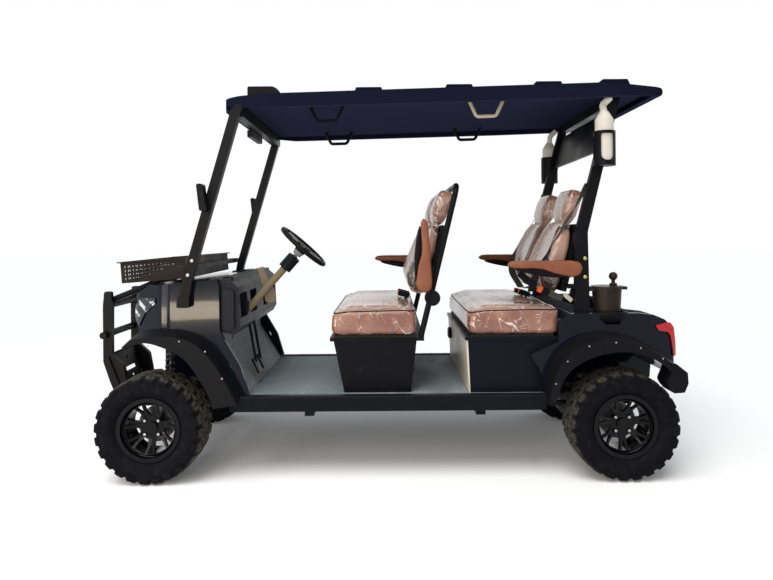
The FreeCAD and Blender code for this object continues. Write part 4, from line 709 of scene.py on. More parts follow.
def merged(name, pieces):
    """One piece from several."""
    work = bmesh.new()
    for piece in pieces:
        work.from_mesh(piece.data)
        bpy.data.objects.remove(piece)
    mesh = bpy.data.meshes.new(name)
    work.to_mesh(mesh)
    work.free()
    return piece_from(name, mesh)


# %% [markdown]
# A bar, hose or bead is a circle carried along a path. The frame that carries it is turned as little as
# possible from step to step, so the surface never twists.

# %% Swept tube


def smooth_path(corners, count):
    """Catmull-Rom curve through the corners, sampled evenly in its parameter."""
    corners = np.asarray(corners, float)
    padded = np.vstack([2 * corners[0] - corners[1], corners, 2 * corners[-1] - corners[-2]])
    t = np.linspace(0, len(corners) - 1 - 1e-9, count)
    k = t.astype(int)
    u = (t - k)[:, None]
    a, b, c, d = (padded[k + n] for n in range(4))
    return 0.5 * (2 * b + (c - a) * u + (2 * a - 5 * b + 4 * c - d) * u**2 + (3 * b - a - 3 * c + d) * u**3)


def path_frame(path, closed=False):
    """Two unit vectors square to the path at each point."""
    ahead = np.roll(path, -1, 0) - np.roll(path, 1, 0)
    if not closed:
        ahead[0] = path[1] - path[0]
        ahead[-1] = path[-1] - path[-2]
    ahead /= np.linalg.norm(ahead, axis=1)[:, None]
    start = np.array([0, 0, 1.0]) if abs(ahead[:, 2]).mean() < 0.8 else np.array([1.0, 0, 0])
    side = np.cross(ahead, start)
    side /= np.linalg.norm(side, axis=1)[:, None]
    return side, np.cross(side, ahead)


def squared(value, power):
    """A sine or cosine to a power, with its sign kept: below 1 it turns a circle into a rounded square."""
    return np.sign(value) * np.abs(value) ** power


def swept(name, path, across, up=None, sides=12, closed=False, square=1.0):
    """Oval section, across by up, carried along the path; square below 1 makes it boxier."""
    side, rise = path_frame(path, closed)
    angle = np.linspace(0, 2 * math.pi, sides, endpoint=False)
    c, s = squared(np.cos(angle), square), squared(np.sin(angle), square)
    across, up = (
        np.broadcast_to(np.asarray(size, float), len(path))[:, None, None]
        for size in (across, across if up is None else up))
    sideways = side[:, None] * (c[None, :, None] * across)
    upward = rise[:, None] * (s[None, :, None] * up)
    return surface(name, path[:, None] + sideways + upward, closed)


# %% [markdown]
# ## Tyres
# The tread is what makes these tyres look ready for a field: staggered centre blocks, and shoulder lugs that
# wrap onto the sidewall, long and short by turns. The tyre is one closed surface: a profile across the tyre,
# turned about the axle. The radius at each point is the smooth carcass plus a lug height, and that height is
# a function of the place across the tread and round it.

# %% Tread pattern
WHEELS = ("front_left", "front_right", "rear_left", "rear_right")
TYRE_HALF = 0.130
LUG_COUNT = 24
LUG_HEIGHT = 0.011
STEPS_PER_LUG = 17
PROFILE_STEPS = 50
BEAD_RADIUS = 0.1523
BEAD_HALF = 0.0937
FLANK_RADIUS = 0.176


def step_up(value, low, high):
    """Smooth step from 0 at low to 1 at high."""
    t = np.clip((value - low) / (high - low), 0, 1)
    return t * t * (3 - 2 * t)


def bar(phase, start, end, edge):
    """1 where a phase between 0 and 1 lies inside start..end, with soft edges."""
    return step_up(phase, start - edge, start + edge) * (1 - step_up(phase, end - edge, end + edge))


def lug_height(across, turn):
    """Height share of the tread at across (-1 to 1 over the crown, more on the flanks) and turn (in lugs)."""
    side = np.sign(across)
    far = np.abs(across)
    shoulder_phase = (turn + 0.5 * (side > 0) + 0.16 * far) % 1.0
    long_lug = (np.floor(turn + 0.5 * (side > 0) + 0.16 * far) % 2) == 0
    reach = np.where(long_lug, 1.72, 1.45)
    shoulder = bar(shoulder_phase, 0.10, 0.74, 0.035)
    shoulder *= step_up(far, 0.60, 0.64) * (1 - step_up(far, reach - 0.05, reach))
    sipe = bar((shoulder_phase - 0.42) % 1.0, 0.0, 0.05, 0.02) * (far < 0.95)
    shoulder *= 1 - 0.55 * sipe
    inner_phase = (turn + 0.30 * np.sin(far * 9) + 0.25 * (side > 0)) % 1.0
    inner = bar(inner_phase, 0.08, 0.80, 0.035) * step_up(far, 0.17, 0.21) * (1 - step_up(far, 0.52, 0.56))
    centre_phase = (turn + 0.5 + across * 0.9) % 1.0
    centre = bar(centre_phase, 0.10, 0.86, 0.035) * (1 - step_up(far, 0.11, 0.15))
    return np.maximum(np.maximum(shoulder, inner), centre)


# %% [markdown]
# The profile starts at one bead, bulges over the sidewall and crosses the crown. Half of it is drawn as
# corners on a smooth curve, and the other half is its mirror image.

# %% Tyres
TYRE_CORNERS = (
    (BEAD_HALF, BEAD_RADIUS, 3.0),
    (BEAD_HALF + 0.001, FLANK_RADIUS - 0.006, 2.8),
    (0.108, FLANK_RADIUS + 0.006, 2.6),
    (0.122, FLANK_RADIUS + 0.024, 2.3),
    (0.1265, 0.222, 1.95),
    (0.1240, 0.245, 1.55),
    (0.1175, 0.2595, 1.25),
    (0.1060, 0.2680, 1.02),
    (0.0800, 0.2715, 0.72),
    (0.0400, 0.2720, 0.36),
    (0.0, 0.2720, 0.0),
)


def tyre_profile():
    """Points (across, radius, crown place) from the inner bead over the tread to the outer bead."""
    half = smooth_path(TYRE_CORNERS, PROFILE_STEPS)
    return np.vstack([half, half[:-1][::-1] * np.array([-1, 1, -1])])


def tyre_shape():
    """Carcass radius plus lug height along the surface normal, over a full turn; closed at the beads."""
    profile = tyre_profile()
    steps = LUG_COUNT * STEPS_PER_LUG
    turn = np.arange(steps) / STEPS_PER_LUG
    along = np.gradient(profile[:, :2], axis=0)
    outward = np.stack([along[:, 1], -along[:, 0]], -1)
    outward /= np.linalg.norm(outward, axis=1)[:, None]
    height = lug_height(profile[None, :, 2], turn[:, None]) * LUG_HEIGHT
    rib = 0.0018 * bar(np.abs(profile[:, 2]) - 1.75, 0.10, 0.24, 0.04)
    height = height + rib[None, :]
    across = profile[None, :, 0] + outward[None, :, 0] * height
    radius = profile[None, :, 1] + outward[None, :, 1] * height
    across = np.clip(across, -TYRE_HALF, TYRE_HALF)
    angle = 2 * math.pi * np.arange(steps) / steps
    return np.stack([radius * np.sin(angle)[:, None], across, radius * np.cos(angle)[:, None]], -1)


def make_tyres():
    """One shape moved to each wheel's middle; the right wheels have its mirror image."""
    grid = tyre_shape()
    for wheel in WHEELS:
        low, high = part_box("tyre_" + wheel)
        spot = grid * (1, 1 if "left" in wheel else -1, 1) + np.array((low + high) / 2)
        tyre = surface("tread_" + wheel, spot, True)
        put(tyre, "tread_rubber", "wheel_" + wheel, "tyre_rubber", "tyre_" + wheel)


make_tyres()

# %% [markdown]
# ## Stuffed seats
# A cushion is foam under leather, so it bulges between the lines that hold it. Each starts as a slightly small
# closed shape. Blender's cloth then blows it up with a little pressure, and a cap holds every point near its
# start so that the cushion stays in its place. Seams and creases are pressed in afterwards.

# %% Cloth puffing


def applied(piece):
    """The piece's mesh with its modifiers worked out, which are then removed."""
    depsgraph = bpy.context.evaluated_depsgraph_get()
    mesh = bpy.data.meshes.new_from_object(piece.evaluated_get(depsgraph))
    piece.modifiers.clear()
    return mesh


def blow_up(piece, pressure, frames):
    """Points of the piece after it was cloth with air inside for some frames."""
    cloth = piece.modifiers.new("foam", "CLOTH")
    settings = cloth.settings
    settings.use_pressure = True
    settings.uniform_pressure_force = pressure
    settings.tension_stiffness = 20
    settings.compression_stiffness = 20
    settings.bending_stiffness = 1.5
    settings.effector_weights.gravity = 0
    cloth.point_cache.frame_start = 1
    cloth.point_cache.frame_end = frames
    for step in range(1, frames + 1):
        scene.frame_set(step)
    moved = points_of(applied(piece))
    scene.frame_set(1)
    return moved


def puff(piece, voxel, cap, pressure=4.0, frames=20):
    """Remesh evenly, inflate as cloth, cap the travel, apply, and subdivide once."""
    remesh = piece.modifiers.new("even", "REMESH")
    remesh.mode = "VOXEL"
    remesh.voxel_size = voxel
    piece.data = applied(piece)
    start = points_of(piece.data)
    travel = blow_up(piece, pressure, frames) - start
    share = np.minimum(1.0, cap / np.maximum(np.linalg.norm(travel, axis=1), 1e-9))
    set_points(piece.data, start + travel * share[:, None])
    smooth = piece.modifiers.new("smooth", "SUBSURF")
    smooth.levels = smooth.render_levels = 1
    piece.data = applied(piece)
    smooth_faces(piece.data)
    return piece


# %% [markdown]
# Film and leather both crease. The creases are worked out as a height over the whole piece and pushed in
# along its normals. The basic form of every soft or moulded block is a superquadric, a ball squared off.

# %% Creases and rounded boxes


def crinkle(places, seed, depth, size):
    """Sharp ridges in a few random directions: sums of one minus the absolute sine, raised to a power."""
    rng = np.random.default_rng(seed)
    total = np.zeros(len(places))
    for _ in range(9):
        way = rng.normal(size=3)
        way /= np.linalg.norm(way)
        bend_way = rng.normal(size=3) * 9.0
        pitch = rng.uniform(0.6, 1.6)
        bend = 1.3 * np.sin(places @ bend_way + rng.uniform(0, 6))
        phase = places @ way * (math.pi / size) * pitch + bend
        patch_way = rng.normal(size=3) * 7.0
        window = step_up(np.sin(places @ patch_way + rng.uniform(0, 6)), 0.0, 0.7)
        total += window * (1 - np.abs(np.sin(phase))) ** 5
    return total / 3 * depth


def press(piece, seed, depth, size):
    """Crinkle a finished soft mesh along its normals."""
    places = points_of(piece.data)
    set_points(piece.data, places + normals_of(piece.data) * crinkle(places, seed, depth, size)[:, None])


def superbox(centre, half, flat=0.30, plan=0.22, rows=64, columns=128):
    """Superquadric: x, y = half * cos(lift)^flat * (cos, sin)(turn)^plan and z = half * sin(lift)^flat."""
    lift = np.linspace(-math.pi / 2, math.pi / 2, rows)[:, None]
    turn = np.linspace(0, 2 * math.pi, columns, endpoint=False)[None, :]
    ring = squared(np.cos(lift), flat)
    points = np.stack([
        half[0] * ring * squared(np.cos(turn), plan),
        half[1] * ring * squared(np.sin(turn), plan),
        half[2] * squared(np.sin(lift), flat) + 0 * turn,
    ], -1)
    return points + np.array(centre)


# %% [markdown]
# The film lies over saddle-brown leather. From above it mirrors the sky at a low angle; its coat gives part of
# that, and on the cushions the upward faces are also painted paler, a painted reflection of the sky. From the
# side the brown shows warm, crossed by thin folds painted as bright glints. Seat backs are paler, because the
# film hangs there in close upright folds, and their faces turned sideways are painted less pale, a painted
# shade of that reflection. A headrest is brown only on its top.

# %% Leather finishes
LEATHER = (0.30, 0.105, 0.055)
SADDLE = (0.235, 0.077, 0.036)
SHADE = (0.190, 0.066, 0.040, 1)
TAWNY = (0.30, 0.125, 0.075, 1)
PALE = (0.53, 0.385, 0.305, 1)
GLINT = (0.95, 0.88, 0.80, 1)
INSET = (0.030, 0.026, 0.022, 1)
SEAT_MIDDLE = 0.246


def filmed(name, scale, width, gather, pale, insets_and_side_shade=False, cap=None, painted_sheen=0.0):
    """Leather under film. pale is how much the film whitens it; strips adds dark insets and gives faces turned
    sideways a painted shade, half the pale film; cap a brown top; sheen whitens upward faces as a painted
    reflection of the sky, much less where the film lies tight over the middle of a seat."""
    wires, place, normal = blank(
        name, LEATHER, 0.32, Specular_IOR_Level=0.35, Coat_Weight=0.7, Coat_Roughness=0.07)
    film = wires.group(film_group, Place=place, Scale=scale, Width=width, Gather=gather)
    x, y, z = wires.axes(place)
    across = wires.absolute(y)
    facing = wires.axes(normal)
    base = wires.blend(wires.ramp(film["Patches"], 0.35, 0.65), SHADE, TAWNY)
    cloud = wires.ramp(film["Patches"], 0.38, 0.62, pale * 0.55, pale)
    if cap:
        cloud = wires.times(cloud, wires.ramp(z, cap - 0.012, cap, 1.0, 0.0))
    # Painted reflection of the sky: upward faces are whitened, much less where the film lies tight over each
    # seat's middle.
    if painted_sheen:
        tight = wires.times(wires.ramp(across, 0.10, 0.17), wires.ramp(across, 0.40, 0.46, 1.0, 0.0))
        loose = wires.minus(1.0, wires.times(tight, 0.85))
        lit = wires.times(wires.ramp(facing[2], 0.55, 0.9), loose)
        cloud = wires.plus(cloud, wires.times(lit, painted_sheen), clamp=True)
    # Painted shade of the film's reflection: faces turned sideways get half the pale film.
    if insets_and_side_shade:
        cloud = wires.times(cloud, wires.ramp(wires.absolute(facing[1]), 0.55, 0.9, 1.0, 0.5))
    base = wires.blend(cloud, base, PALE)
    if insets_and_side_shade:
        line = wires.minus(wires.minus(across, SEAT_MIDDLE), wires.ramp(z, 1.08, 1.34, 0.196, 0.150))
        inset = wires.ramp(wires.absolute(line), 0.015, 0.021, 0.95, 0.0)
        base = wires.blend(wires.times(inset, wires.ramp(z, 1.325, 1.345, 1.0, 0.0)), base, INSET)
    # Thin fold lines are painted near white: painted glints of the film.
    wires.feed(
        Base_Color=wires.blend(wires.times(film["Glints"], 0.85), base, GLINT),
        Roughness=wires.ramp(film["Patches"], 0.3, 0.7, 0.22, 0.42),
        Normal=wires.bump(film["Height"], 0.55, 0.006),
    )


def make_leather():
    """Bare saddle leather for the arm pads: two browns in slow patches, and pores from cell distances."""
    wires, place, normal = blank("saddle_leather", SADDLE, 0.42, Specular_IOR_Level=0.3)
    pores = wires.add("TexVoronoi", {"Vector": place, "Scale": 420.0}).outputs["Distance"]
    tone = wires.ramp(wires.noise(place, 12.0, 4.0), 0.3, 0.75)
    wires.feed(
        Base_Color=wires.blend(tone, (*SADDLE, 1), (0.19, 0.058, 0.027, 1)),
        Roughness=wires.ramp(tone, 0, 1, 0.38, 0.50),
        Normal=wires.bump(pores, 0.35, 0.0006),
    )


make_leather()
filmed("film_cushion", 12.0, 0.011, 0.6, 0.10, painted_sheen=0.45)
filmed("film_back", 17.0, 0.013, 0.8, 0.80, insets_and_side_shade=True)
filmed("film_head", 24.0, 0.030, 1.0, 0.50, cap=1.510)
print("finishes:", len(skins))

# %% [markdown]
# The bench cushion is one wide closed form with a rounded front, sunk a little where each person sits. A bead
# of piping runs round its upper edge, where the top panel meets the side band.

# %% Bench cushions
ROW_PITCH = 0.735
BENCH_CENTRE = (0.002, 0.0, 0.8285)
BENCH_HALF = (0.232, 0.559, 0.0755)
BENCH_LOW = 0.7572
BENCH_ROWS = 90
PIPING_LIFT = 0.66
GROOVE_INSET = 0.062
PIPING_RADIUS = 0.0035
REAR_EXTRA = 0.032


def bench_shape():
    """Squarish superquadric: front swollen and lowered, two soft hollows, and a seam groove round the top."""
    points = superbox(BENCH_CENTRE, BENCH_HALF, 0.20, 0.14, BENCH_ROWS, 260)
    x, y, z = points[..., 0], points[..., 1], points[..., 2]
    top = step_up(z, BENCH_CENTRE[2] + 0.3 * BENCH_HALF[2], BENCH_CENTRE[2] + BENCH_HALF[2])
    front = np.clip((x - 0.08) / 0.15, 0, 1) ** 2
    seats = np.exp(-((x + 0.02) / 0.15) ** 2) * (
        np.exp(-((y - 0.27) / 0.17) ** 4) + np.exp(-((y + 0.27) / 0.17) ** 4))
    inside = np.minimum(BENCH_HALF[0] - np.abs(x - BENCH_CENTRE[0]), BENCH_HALF[1] - np.abs(y))
    groove = np.exp(-((inside - GROOVE_INSET) / 0.016) ** 2)
    fall = top * (0.022 * front + 0.010 * seats + 0.011 * groove)
    swell = np.clip(1 - ((z - BENCH_CENTRE[2] + 0.012) / (1.15 * BENCH_HALF[2])) ** 2, 0, 1)
    points[..., 0] = x + 0.016 * swell * step_up(x, 0.10, 0.22)
    points[..., 2] = np.clip(z - 0.004 * top - fall, BENCH_LOW, None)
    return points


def lengthened(places, extra):
    """Rear cushion: its rear end reaches back under the seat backs by a little more."""
    places = places.copy()
    places[..., 0] -= extra * step_up(BENCH_CENTRE[0] - ROW_PITCH - places[..., 0], 0.0, BENCH_HALF[0])
    return places


def laid_on(mesh, ring, lift):
    """Closed ring moved to the nearest points of a mesh, just above its surface, and smoothed along itself."""
    places, normals = points_of(mesh), normals_of(mesh)
    nearest = np.array([np.argmin(((places - spot) ** 2).sum(1)) for spot in ring])
    path = places[nearest] + normals[nearest] * lift
    for _ in range(3):
        path = (np.roll(path, 1, 0) + path + np.roll(path, -1, 0)) / 3
    return path


def make_benches():
    """Front bench puffed, rear one copied and lengthened; each is creased and gets a ring of piping."""
    front = puff(surface("bench_front", bench_shape()), 0.0105, 0.012)
    rear = copy_at("bench_rear", front, (-ROW_PITCH, 0, 0))
    set_points(rear.data, lengthened(points_of(rear.data), REAR_EXTRA))
    for piece, node, seed in ((front, "front_cushion", 3), (rear, "rear_cushion", 8)):
        press(piece, seed, 0.0022, 0.05)
        put(piece, "film_cushion", "chassis", "brown_leather", node)
        ring = bench_shape()[int(BENCH_ROWS * PIPING_LIFT)]
        ring = ring if piece is front else lengthened(ring - (ROW_PITCH, 0, 0), REAR_EXTRA)
        path = laid_on(piece.data, ring, 0.001)
        bead = swept(piece.name + "_piping", path, PIPING_RADIUS, sides=8, closed=True)
        put(bead, "trim_skin", "chassis", "brown_leather")


make_benches()

# %% [markdown]
# ## Seat backs and headrests
# Each back is a pad about 450 mm wide, fuller at the lumbar, with raised side bolsters and a sunk middle panel.
# It is worked out in the seat's own leaning frame: forward, up, and across. The headrest is a smaller pad
# above it, narrow at its foot. Both are puffed once and copied to the four seats.

# %% Seat backs
RECLINE = math.radians(13.9)
BACK_FOOT = (-0.264, 0.813)
BACK_HALF = 0.222
HEAD_HALF = 0.139
ROWS = (("front", 0.0), ("rear", -ROW_PITCH))


def lean(forward, up, across):
    """From the leaning frame of a front seat to the cart's frame."""
    x = BACK_FOOT[0] - up * math.sin(RECLINE) + forward * math.cos(RECLINE)
    z = BACK_FOOT[1] + up * math.cos(RECLINE) + forward * math.sin(RECLINE)
    return np.stack([x, across + 0 * x, z], -1)


def back_shape():
    """Closed pad: a superquadric section whose front swells at the lumbar and at both bolsters."""
    points = superbox((0, 0, 0), (1, 1, 1), 0.34, 0.30, 72, 140)
    f, a, u = points[..., 0], points[..., 1], points[..., 2]
    up = 0.346 + u * 0.212
    height = (up - 0.134) / 0.424
    thick = np.interp(height, [0, 0.22, 0.5, 0.86, 1], [0.078, 0.108, 0.090, 0.064, 0.044])
    width = BACK_HALF * (1 - 0.26 * step_up(height, 0.55, 1.06) - 0.06 * (1 - step_up(height, 0.0, 0.25)))
    forward = 0.029 + (f * 0.5 + 0.5) * thick
    bolster = step_up(np.abs(a), 0.55, 0.86) * (1 - step_up(np.abs(a), 0.93, 1.0))
    forward += np.where(f > 0, 1, 0) * (0.014 * bolster - 0.010 * (1 - step_up(np.abs(a), 0.4, 0.62)))
    return lean(forward, up, a * width)


def head_shape():
    """Closed pad: a superquadric whose depth and width follow the share of its height."""
    points = superbox((0, 0, 0), (1, 1, 1), 0.24, 0.28, 48, 96)
    f, a, u = points[..., 0], points[..., 1], points[..., 2]
    share = (u + 1) / 2
    middle_depth = np.interp(share, [0, 0.4, 1], [0.043, 0.0485, 0.035])
    half_depth = np.interp(share, [0, 0.4, 1], [0.024, 0.046, 0.037])
    width = HEAD_HALF * (0.72 + 0.28 * step_up(share, 0.03, 0.38)) * (1 - 0.05 * step_up(share, 0.7, 1.0))
    return lean(middle_depth + f * half_depth, 0.639 + u * 0.099, a * width)


def make_backs():
    """One back and one headrest are puffed, copied to each seat, and creased there by a seed of its own."""
    back_model = puff(surface("back_model", back_shape()), 0.0095, 0.006)
    head_model = puff(surface("head_model", head_shape()), 0.008, 0.005)
    for row, shift in ROWS:
        for side, middle in (("left", SEAT_MIDDLE), ("right", -SEAT_MIDDLE)):
            seed = len(row) * 7 + len(side)
            back = copy_at("back_%s_%s" % (row, side), back_model, (shift, middle, 0))
            press(back, seed, 0.0020, 0.04)
            head = copy_at("head_%s_%s" % (row, side), head_model, (shift, middle, 0))
            press(head, seed + 1, 0.0042, 0.028)
            for piece, skin in ((back, "film_back"), (head, "film_head")):
                put(piece, skin, "chassis", "brown_leather", row + "_backrests")
    for model in (back_model, head_model):
        bpy.data.objects.remove(model)


make_backs()

# %% [markdown]
# ## Armrests
# Each arm is a slim pad: brown leather over the top and the belly near its pivot, with a black moulded
# underside from the tip to the middle. The section is a rounded box whose top and bottom follow two curves.

# %% Armrests
ARM_PIVOT = (-0.253, 1.099)
ARM_INNER = 0.522
ARM_WIDTH = 0.054
ARM_FOLD = math.radians(86)
ARM_STATIONS = (-0.116, -0.104, -0.060, 0.030, 0.090, 0.150, 0.210, 0.262, 0.278)
ARM_TOP = (0.030, 0.044, 0.049, 0.050, 0.050, 0.050, 0.050, 0.048, 0.036)
PAD_UNDER = (-0.016, -0.031, -0.041, -0.021, 0.002, 0.008, 0.007, 0.012, 0.020)
SHELL_UNDER = (-0.016, -0.032, -0.043, -0.041, -0.035, -0.024, -0.009, 0.009, 0.019)


def arm_shape(under, top, inset, first, last):
    """Rounded box section carried along the arm, between an under line and a top line."""
    along = np.linspace(first, last, 60)
    low = np.interp(along, ARM_STATIONS, under)
    high = np.interp(along, ARM_STATIONS, top)
    share = (along - first) / (last - first)
    round_end = np.sqrt(np.clip(1 - (2 * np.abs(share - 0.5)) ** 14, 0.0, 1))
    angle = np.linspace(0, 2 * math.pi, 36, endpoint=False)
    c, s = squared(np.cos(angle), 0.55), squared(np.sin(angle), 0.55)
    half = (high - low) / 2 * (0.25 + 0.75 * round_end)
    wide = (ARM_WIDTH / 2 - inset) * (0.55 + 0.45 * round_end)
    x = along[:, None] + 0 * c
    y = c[None, :] * wide[:, None]
    z = ((low + high) / 2)[:, None] + s[None, :] * half[:, None]
    return np.stack([x, y, z], -1)


def place_arm(points, shift, side, raised):
    """Turn a raised arm about its pivot, then move it to its row and side."""
    points = points.copy()
    if raised:
        c, s = math.cos(ARM_FOLD), math.sin(ARM_FOLD)
        x, z = points[..., 0].copy(), points[..., 2].copy()
        points[..., 0], points[..., 2] = c * x - s * z, s * x + c * z
    points[..., 1] += ARM_INNER + ARM_WIDTH / 2
    points[..., 1] *= side
    return points + np.array([ARM_PIVOT[0] + shift, 0, ARM_PIVOT[1]])


def make_arms():
    """Pad and shell of each arm ride on the arm's own body; the front left one is made raised."""
    pad_shape = arm_shape(PAD_UNDER, ARM_TOP, 0.0, -0.116, 0.278)
    shell_shape = arm_shape(SHELL_UNDER, PAD_UNDER, 0.003, -0.055, 0.240)
    for row, shift in ROWS:
        for name, side in (("left", 1), ("right", -1)):
            raised = row == "front" and side > 0
            body = "armrest_%s_%s" % (row, name)
            pad = surface("pad_" + body, place_arm(pad_shape, shift, side, raised))
            put(pad, "saddle_leather", body, "brown_leather", body)
            shell = surface("under_" + body, place_arm(shell_shape, shift, side, raised))
            put(shell, "trim_skin", body, "belt_fabric")


make_arms()

# %% [markdown]
# ## Fasteners and fittings
# Small bright heads tell where panels meet. Each is a dome: a circle whose radius falls as the cosine of the
# lift while its height grows as the sine. Wheel nuts ride with their wheels, and the rest with the frame.

# %% Bolts and nuts
ROUND_STEPS = 14
HUB_FACE = 0.042
BOLT_CIRCLE = 0.0508
FLARE_BOLTS = (
    (1.165, 0.732), (1.006, 0.753), (0.873, 0.700), (0.786, 0.560), (-0.930, 0.520),
    (-0.990, 0.635), (-1.102, 0.712), (-1.240, 0.730), (-1.366, 0.700), (-1.480, 0.645))
POST_BOLTS = ((-1.134, 1.157), (-1.134, 1.057))
FOOT_BOLTS = ((0.980, 1.089), (0.958, 1.164))
FLARE_FACE = 0.680
POST_FACE = 0.516
FOOT_FACE = float(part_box("front_posts")[1][1])


def dome(place, out, radius, height):
    """Dome at a place: radius * cos(lift) round the out axis and height * sin(lift) along it."""
    out = np.array(out, float) / np.linalg.norm(out)
    side = np.cross(out, [0.3, 0.1, 0.9])
    side /= np.linalg.norm(side)
    rise = np.cross(out, side)
    lift = np.linspace(0, math.pi / 2 - 0.02, 6)[:, None, None]
    turn = np.linspace(0, 2 * math.pi, ROUND_STEPS, endpoint=False)[None, :, None]
    ring = radius * np.cos(lift) ** 0.6 * (np.cos(turn) * side + np.sin(turn) * rise)
    return surface("dome", np.array(place) + ring + out * (height * np.sin(lift) - 0.001))


def make_nuts():
    """Four nuts on a circle round each wheel's middle, standing a little proud of the hub's face."""
    for wheel in WHEELS:
        low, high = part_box("rim_" + wheel)
        middle = np.array((low + high) / 2)
        side = 1 if "left" in wheel else -1
        nuts = []
        for angle in (math.radians(45 + 90 * i) for i in range(4)):
            reach = (math.cos(angle) * BOLT_CIRCLE, side * (HUB_FACE + 0.008), math.sin(angle) * BOLT_CIRCLE)
            nuts.append(dome(middle + np.array(reach), (0, side, 0), 0.0092, 0.007))
        put(merged("nuts_" + wheel, nuts), "bolt_steel", "wheel_" + wheel, "bare_steel")


def make_bolts(name, skin, spots, face, radius, height):
    """Bolt heads at each (x, z) on both sides of the cart."""
    heads = [dome((x, side * face, z), (0, side, 0), radius, height) for side in (1, -1) for x, z in spots]
    put(merged(name, heads), skin, "chassis", "bare_steel")


make_nuts()
make_bolts("flare_bolts", "bolt_steel", FLARE_BOLTS, FLARE_FACE, 0.0045, 0.002)
make_bolts("post_bolts", "brass_zinc", POST_BOLTS, POST_FACE, 0.011, 0.005)
make_bolts("foot_bolts", "bolt_steel", FOOT_BOLTS, FOOT_FACE, 0.0105, 0.006)

# %% [markdown]
# The rear seat box carries a round black knob on its cream front, and the front one a red latch under the
# cushion's corner. Both are superquadrics.

# %% Knob and latch
knob = surface("box_knob", superbox((-0.487, -0.366, 0.627), (0.017, 0.036, 0.036), 0.5, 0.35, 24, 40))
put(knob, "trim_skin", "chassis", "trim_plastic")
latch = surface("seat_latch", superbox((0.2395, 0.500, 0.733), (0.006, 0.012, 0.013), 0.4, 0.4, 16, 28))
put(latch, "red_latch", "chassis", "trim_plastic")

# %% [markdown]
# The ball washer stands in a black cup that is let into the corner of the rear body. The cup is a turned
# profile: a radius and a height at each step from the middle of its floor, up its wall and over its rim.

# %% Washer cup
CUP_X = -1.262
CUP_RIM = 0.868
COLLAR_RADIUS = 0.084
CUP_PROFILE = np.array([
    (0.0005, -0.061), (0.060, -0.061), (0.082, -0.056), (0.094, -0.042), (0.100, -0.010),
    (0.101, 0.0), (0.098, 0.003), (0.092, 0.0), (0.090, -0.010), (0.0005, -0.014)])


def make_cup():
    """Profile turned about the washer's axis; the circle is squared off a little."""
    turn = np.linspace(0, 2 * math.pi, 64, endpoint=False)[None, :]
    x = CUP_PROFILE[:, :1] * squared(np.cos(turn), 0.75) + CUP_X
    y = CUP_PROFILE[:, :1] * squared(np.sin(turn), 0.75) + float(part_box("ball_washer")[1][1]) - COLLAR_RADIUS
    z = CUP_PROFILE[:, 1:] + CUP_RIM + 0 * turn
    put(surface("washer_cup", np.stack([x, y, z], -1)), "trim_skin", "chassis", "trim_plastic")


make_cup()

# %% [markdown]
# ## Belts
# Webbing runs from a guide high on each rear post over the outer shoulder, then down behind the armrest to
# the buckle. It is a flat strip carried along a smooth path, lying just off the seat.

# %% Webbing
STRAP_HALF = 0.023
SHOULDER_PATH = (
    (-1.163, 0.478, 1.565), (-1.140, 0.442, 1.500), (-1.100, 0.418, 1.420), (-1.040, 0.424, 1.330),
    (-0.985, 0.420, 1.240), (-0.935, 0.400, 1.140), (-0.905, 0.330, 1.040), (-0.925, 0.150, 0.948))
ANCHOR_PATH = (
    (-1.112, 0.470, 0.965), (-1.060, 0.440, 0.935), (-1.010, 0.400, 0.922), (-0.985, 0.360, 0.925))


def make_strap(name, corners, side):
    """Flat oval strip along a smooth path through the corners, mirrored for the right side."""
    path = smooth_path([(x, side * y, z) for x, y, z in corners], 60)
    put(swept(name, path, STRAP_HALF, 0.0013, square=0.5), "webbing", "chassis", "belt_fabric")


def make_belts():
    """Two straps on each side of the rear row, and an orange button by each seat's inner hip."""
    for name, side in (("left", 1), ("right", -1)):
        make_strap("belt_rear_" + name, SHOULDER_PATH, side)
        make_strap("belt_low_" + name, ANCHOR_PATH, side)
        button = superbox((-0.872, side * 0.062, 0.944), (0.008, 0.0125, 0.008), 0.3, 0.3, 16, 28)
        for row, shift in (("front", ROW_PITCH), ("rear", 0.0)):
            piece = surface("button_%s_%s" % (row, name), button + np.array([shift, 0, 0]))
            put(piece, "orange_button", "chassis", "belt_fabric")


make_belts()

# %% [markdown]
# Beside the outer hip on the near side of the rear row lie the belt's latch and its pale tongue, one behind
# the other. Each is a rounded bar, tilted in the side view so that the row sags towards the anchor at the post.

# %% Latches and tongues
LATCH_Y = 0.482
LATCH_BARS = (
    ("latch_strap", "trim_skin", (-0.828, 1.042), (0.060, 0.006, 0.019), 0.69),
    ("latch_body", "trim_skin", (-0.925, 0.976), (0.022, 0.012, 0.021), 0.60),
    ("latch_tail", "webbing", (-0.973, 0.957), (0.050, 0.007, 0.017), 0.42),
    ("latch_button", "orange_button", (-0.897, 0.990), (0.012, 0.0125, 0.018), 0.60),
    ("latch_tongue", "tongue_pale", (-1.050, 0.944), (0.029, 0.003, 0.012), 0.75),
)


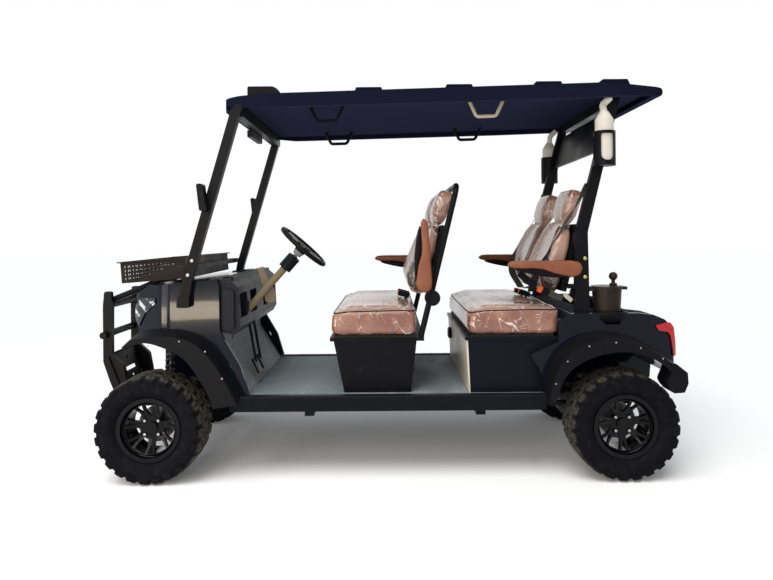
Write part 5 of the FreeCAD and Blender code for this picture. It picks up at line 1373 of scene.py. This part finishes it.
def make_latches():
    """Rounded bars turned by a tilt about Y: x' = x cos - z sin and z' = x sin + z cos, then moved."""
    for name, skin, place, half, tilt in LATCH_BARS:
        bar_points = superbox((0, 0, 0), half, 0.3, 0.3, 16, 32)
        x, y, z = bar_points[..., 0], bar_points[..., 1], bar_points[..., 2]
        turned = np.stack([
            x * math.cos(tilt) - z * math.sin(tilt) + place[0],
            y + LATCH_Y,
            x * math.sin(tilt) + z * math.cos(tilt) + place[1],
        ], -1)
        put(surface(name, turned), skin, "chassis", "belt_fabric")


make_latches()

# %% [markdown]
# ## Front springs
# A coil is a circle carried along a helix: the point at turn t sits at radius R from the strut's axis and at a
# height that grows with t. It takes the place of the plain sleeve, round the damper's body and rod.

# %% Coil springs
COIL_FOOT = np.array([1.186, 0.345, 0.244])
COIL_HEAD = np.array([1.186, 0.262, 0.640])
COIL_TURNS = 7.0
COIL_RADIUS = 0.0275
WIRE_RADIUS = 0.0062
DAMPER_STATIONS = np.array([0.0, 0.02, 0.30, 0.301, 0.315, 0.32, 0.64, 0.641, 0.92, 0.925, 0.94, 0.945, 1.0])
DAMPER_RADII = (0.012, 0.020, 0.020, 0.034, 0.034, 0.016, 0.016, 0.009, 0.009, 0.034, 0.034, 0.012, 0.012)


def make_springs():
    """Helix: foot + axis * share + R * (cos(turn), sin(turn)) square to the axis."""
    for name, side in (("left", 1), ("right", -1)):
        foot = COIL_FOOT * (1, side, 1)
        head = COIL_HEAD * (1, side, 1)
        axis = head - foot
        share = np.linspace(0.30, 0.93, 260)[:, None]
        turn = np.linspace(0, 2 * math.pi * COIL_TURNS, 260)[:, None]
        unit = axis / np.linalg.norm(axis)
        across = np.array([1.0, 0, 0])
        ring = np.cos(turn) * across + np.sin(turn) * np.cross(unit, across)
        helix = foot + axis * share + COIL_RADIUS * ring
        coil = swept("coil_" + name, helix, WIRE_RADIUS, sides=10)
        put(coil, "spring_paint", "chassis", "spring_steel", "front_coil_overs")
        damper = swept("damper_" + name, foot + axis * DAMPER_STATIONS[:, None], DAMPER_RADII, sides=20)
        put(damper, "raw_steel", "chassis", "spring_steel", "front_coil_overs")


make_springs()
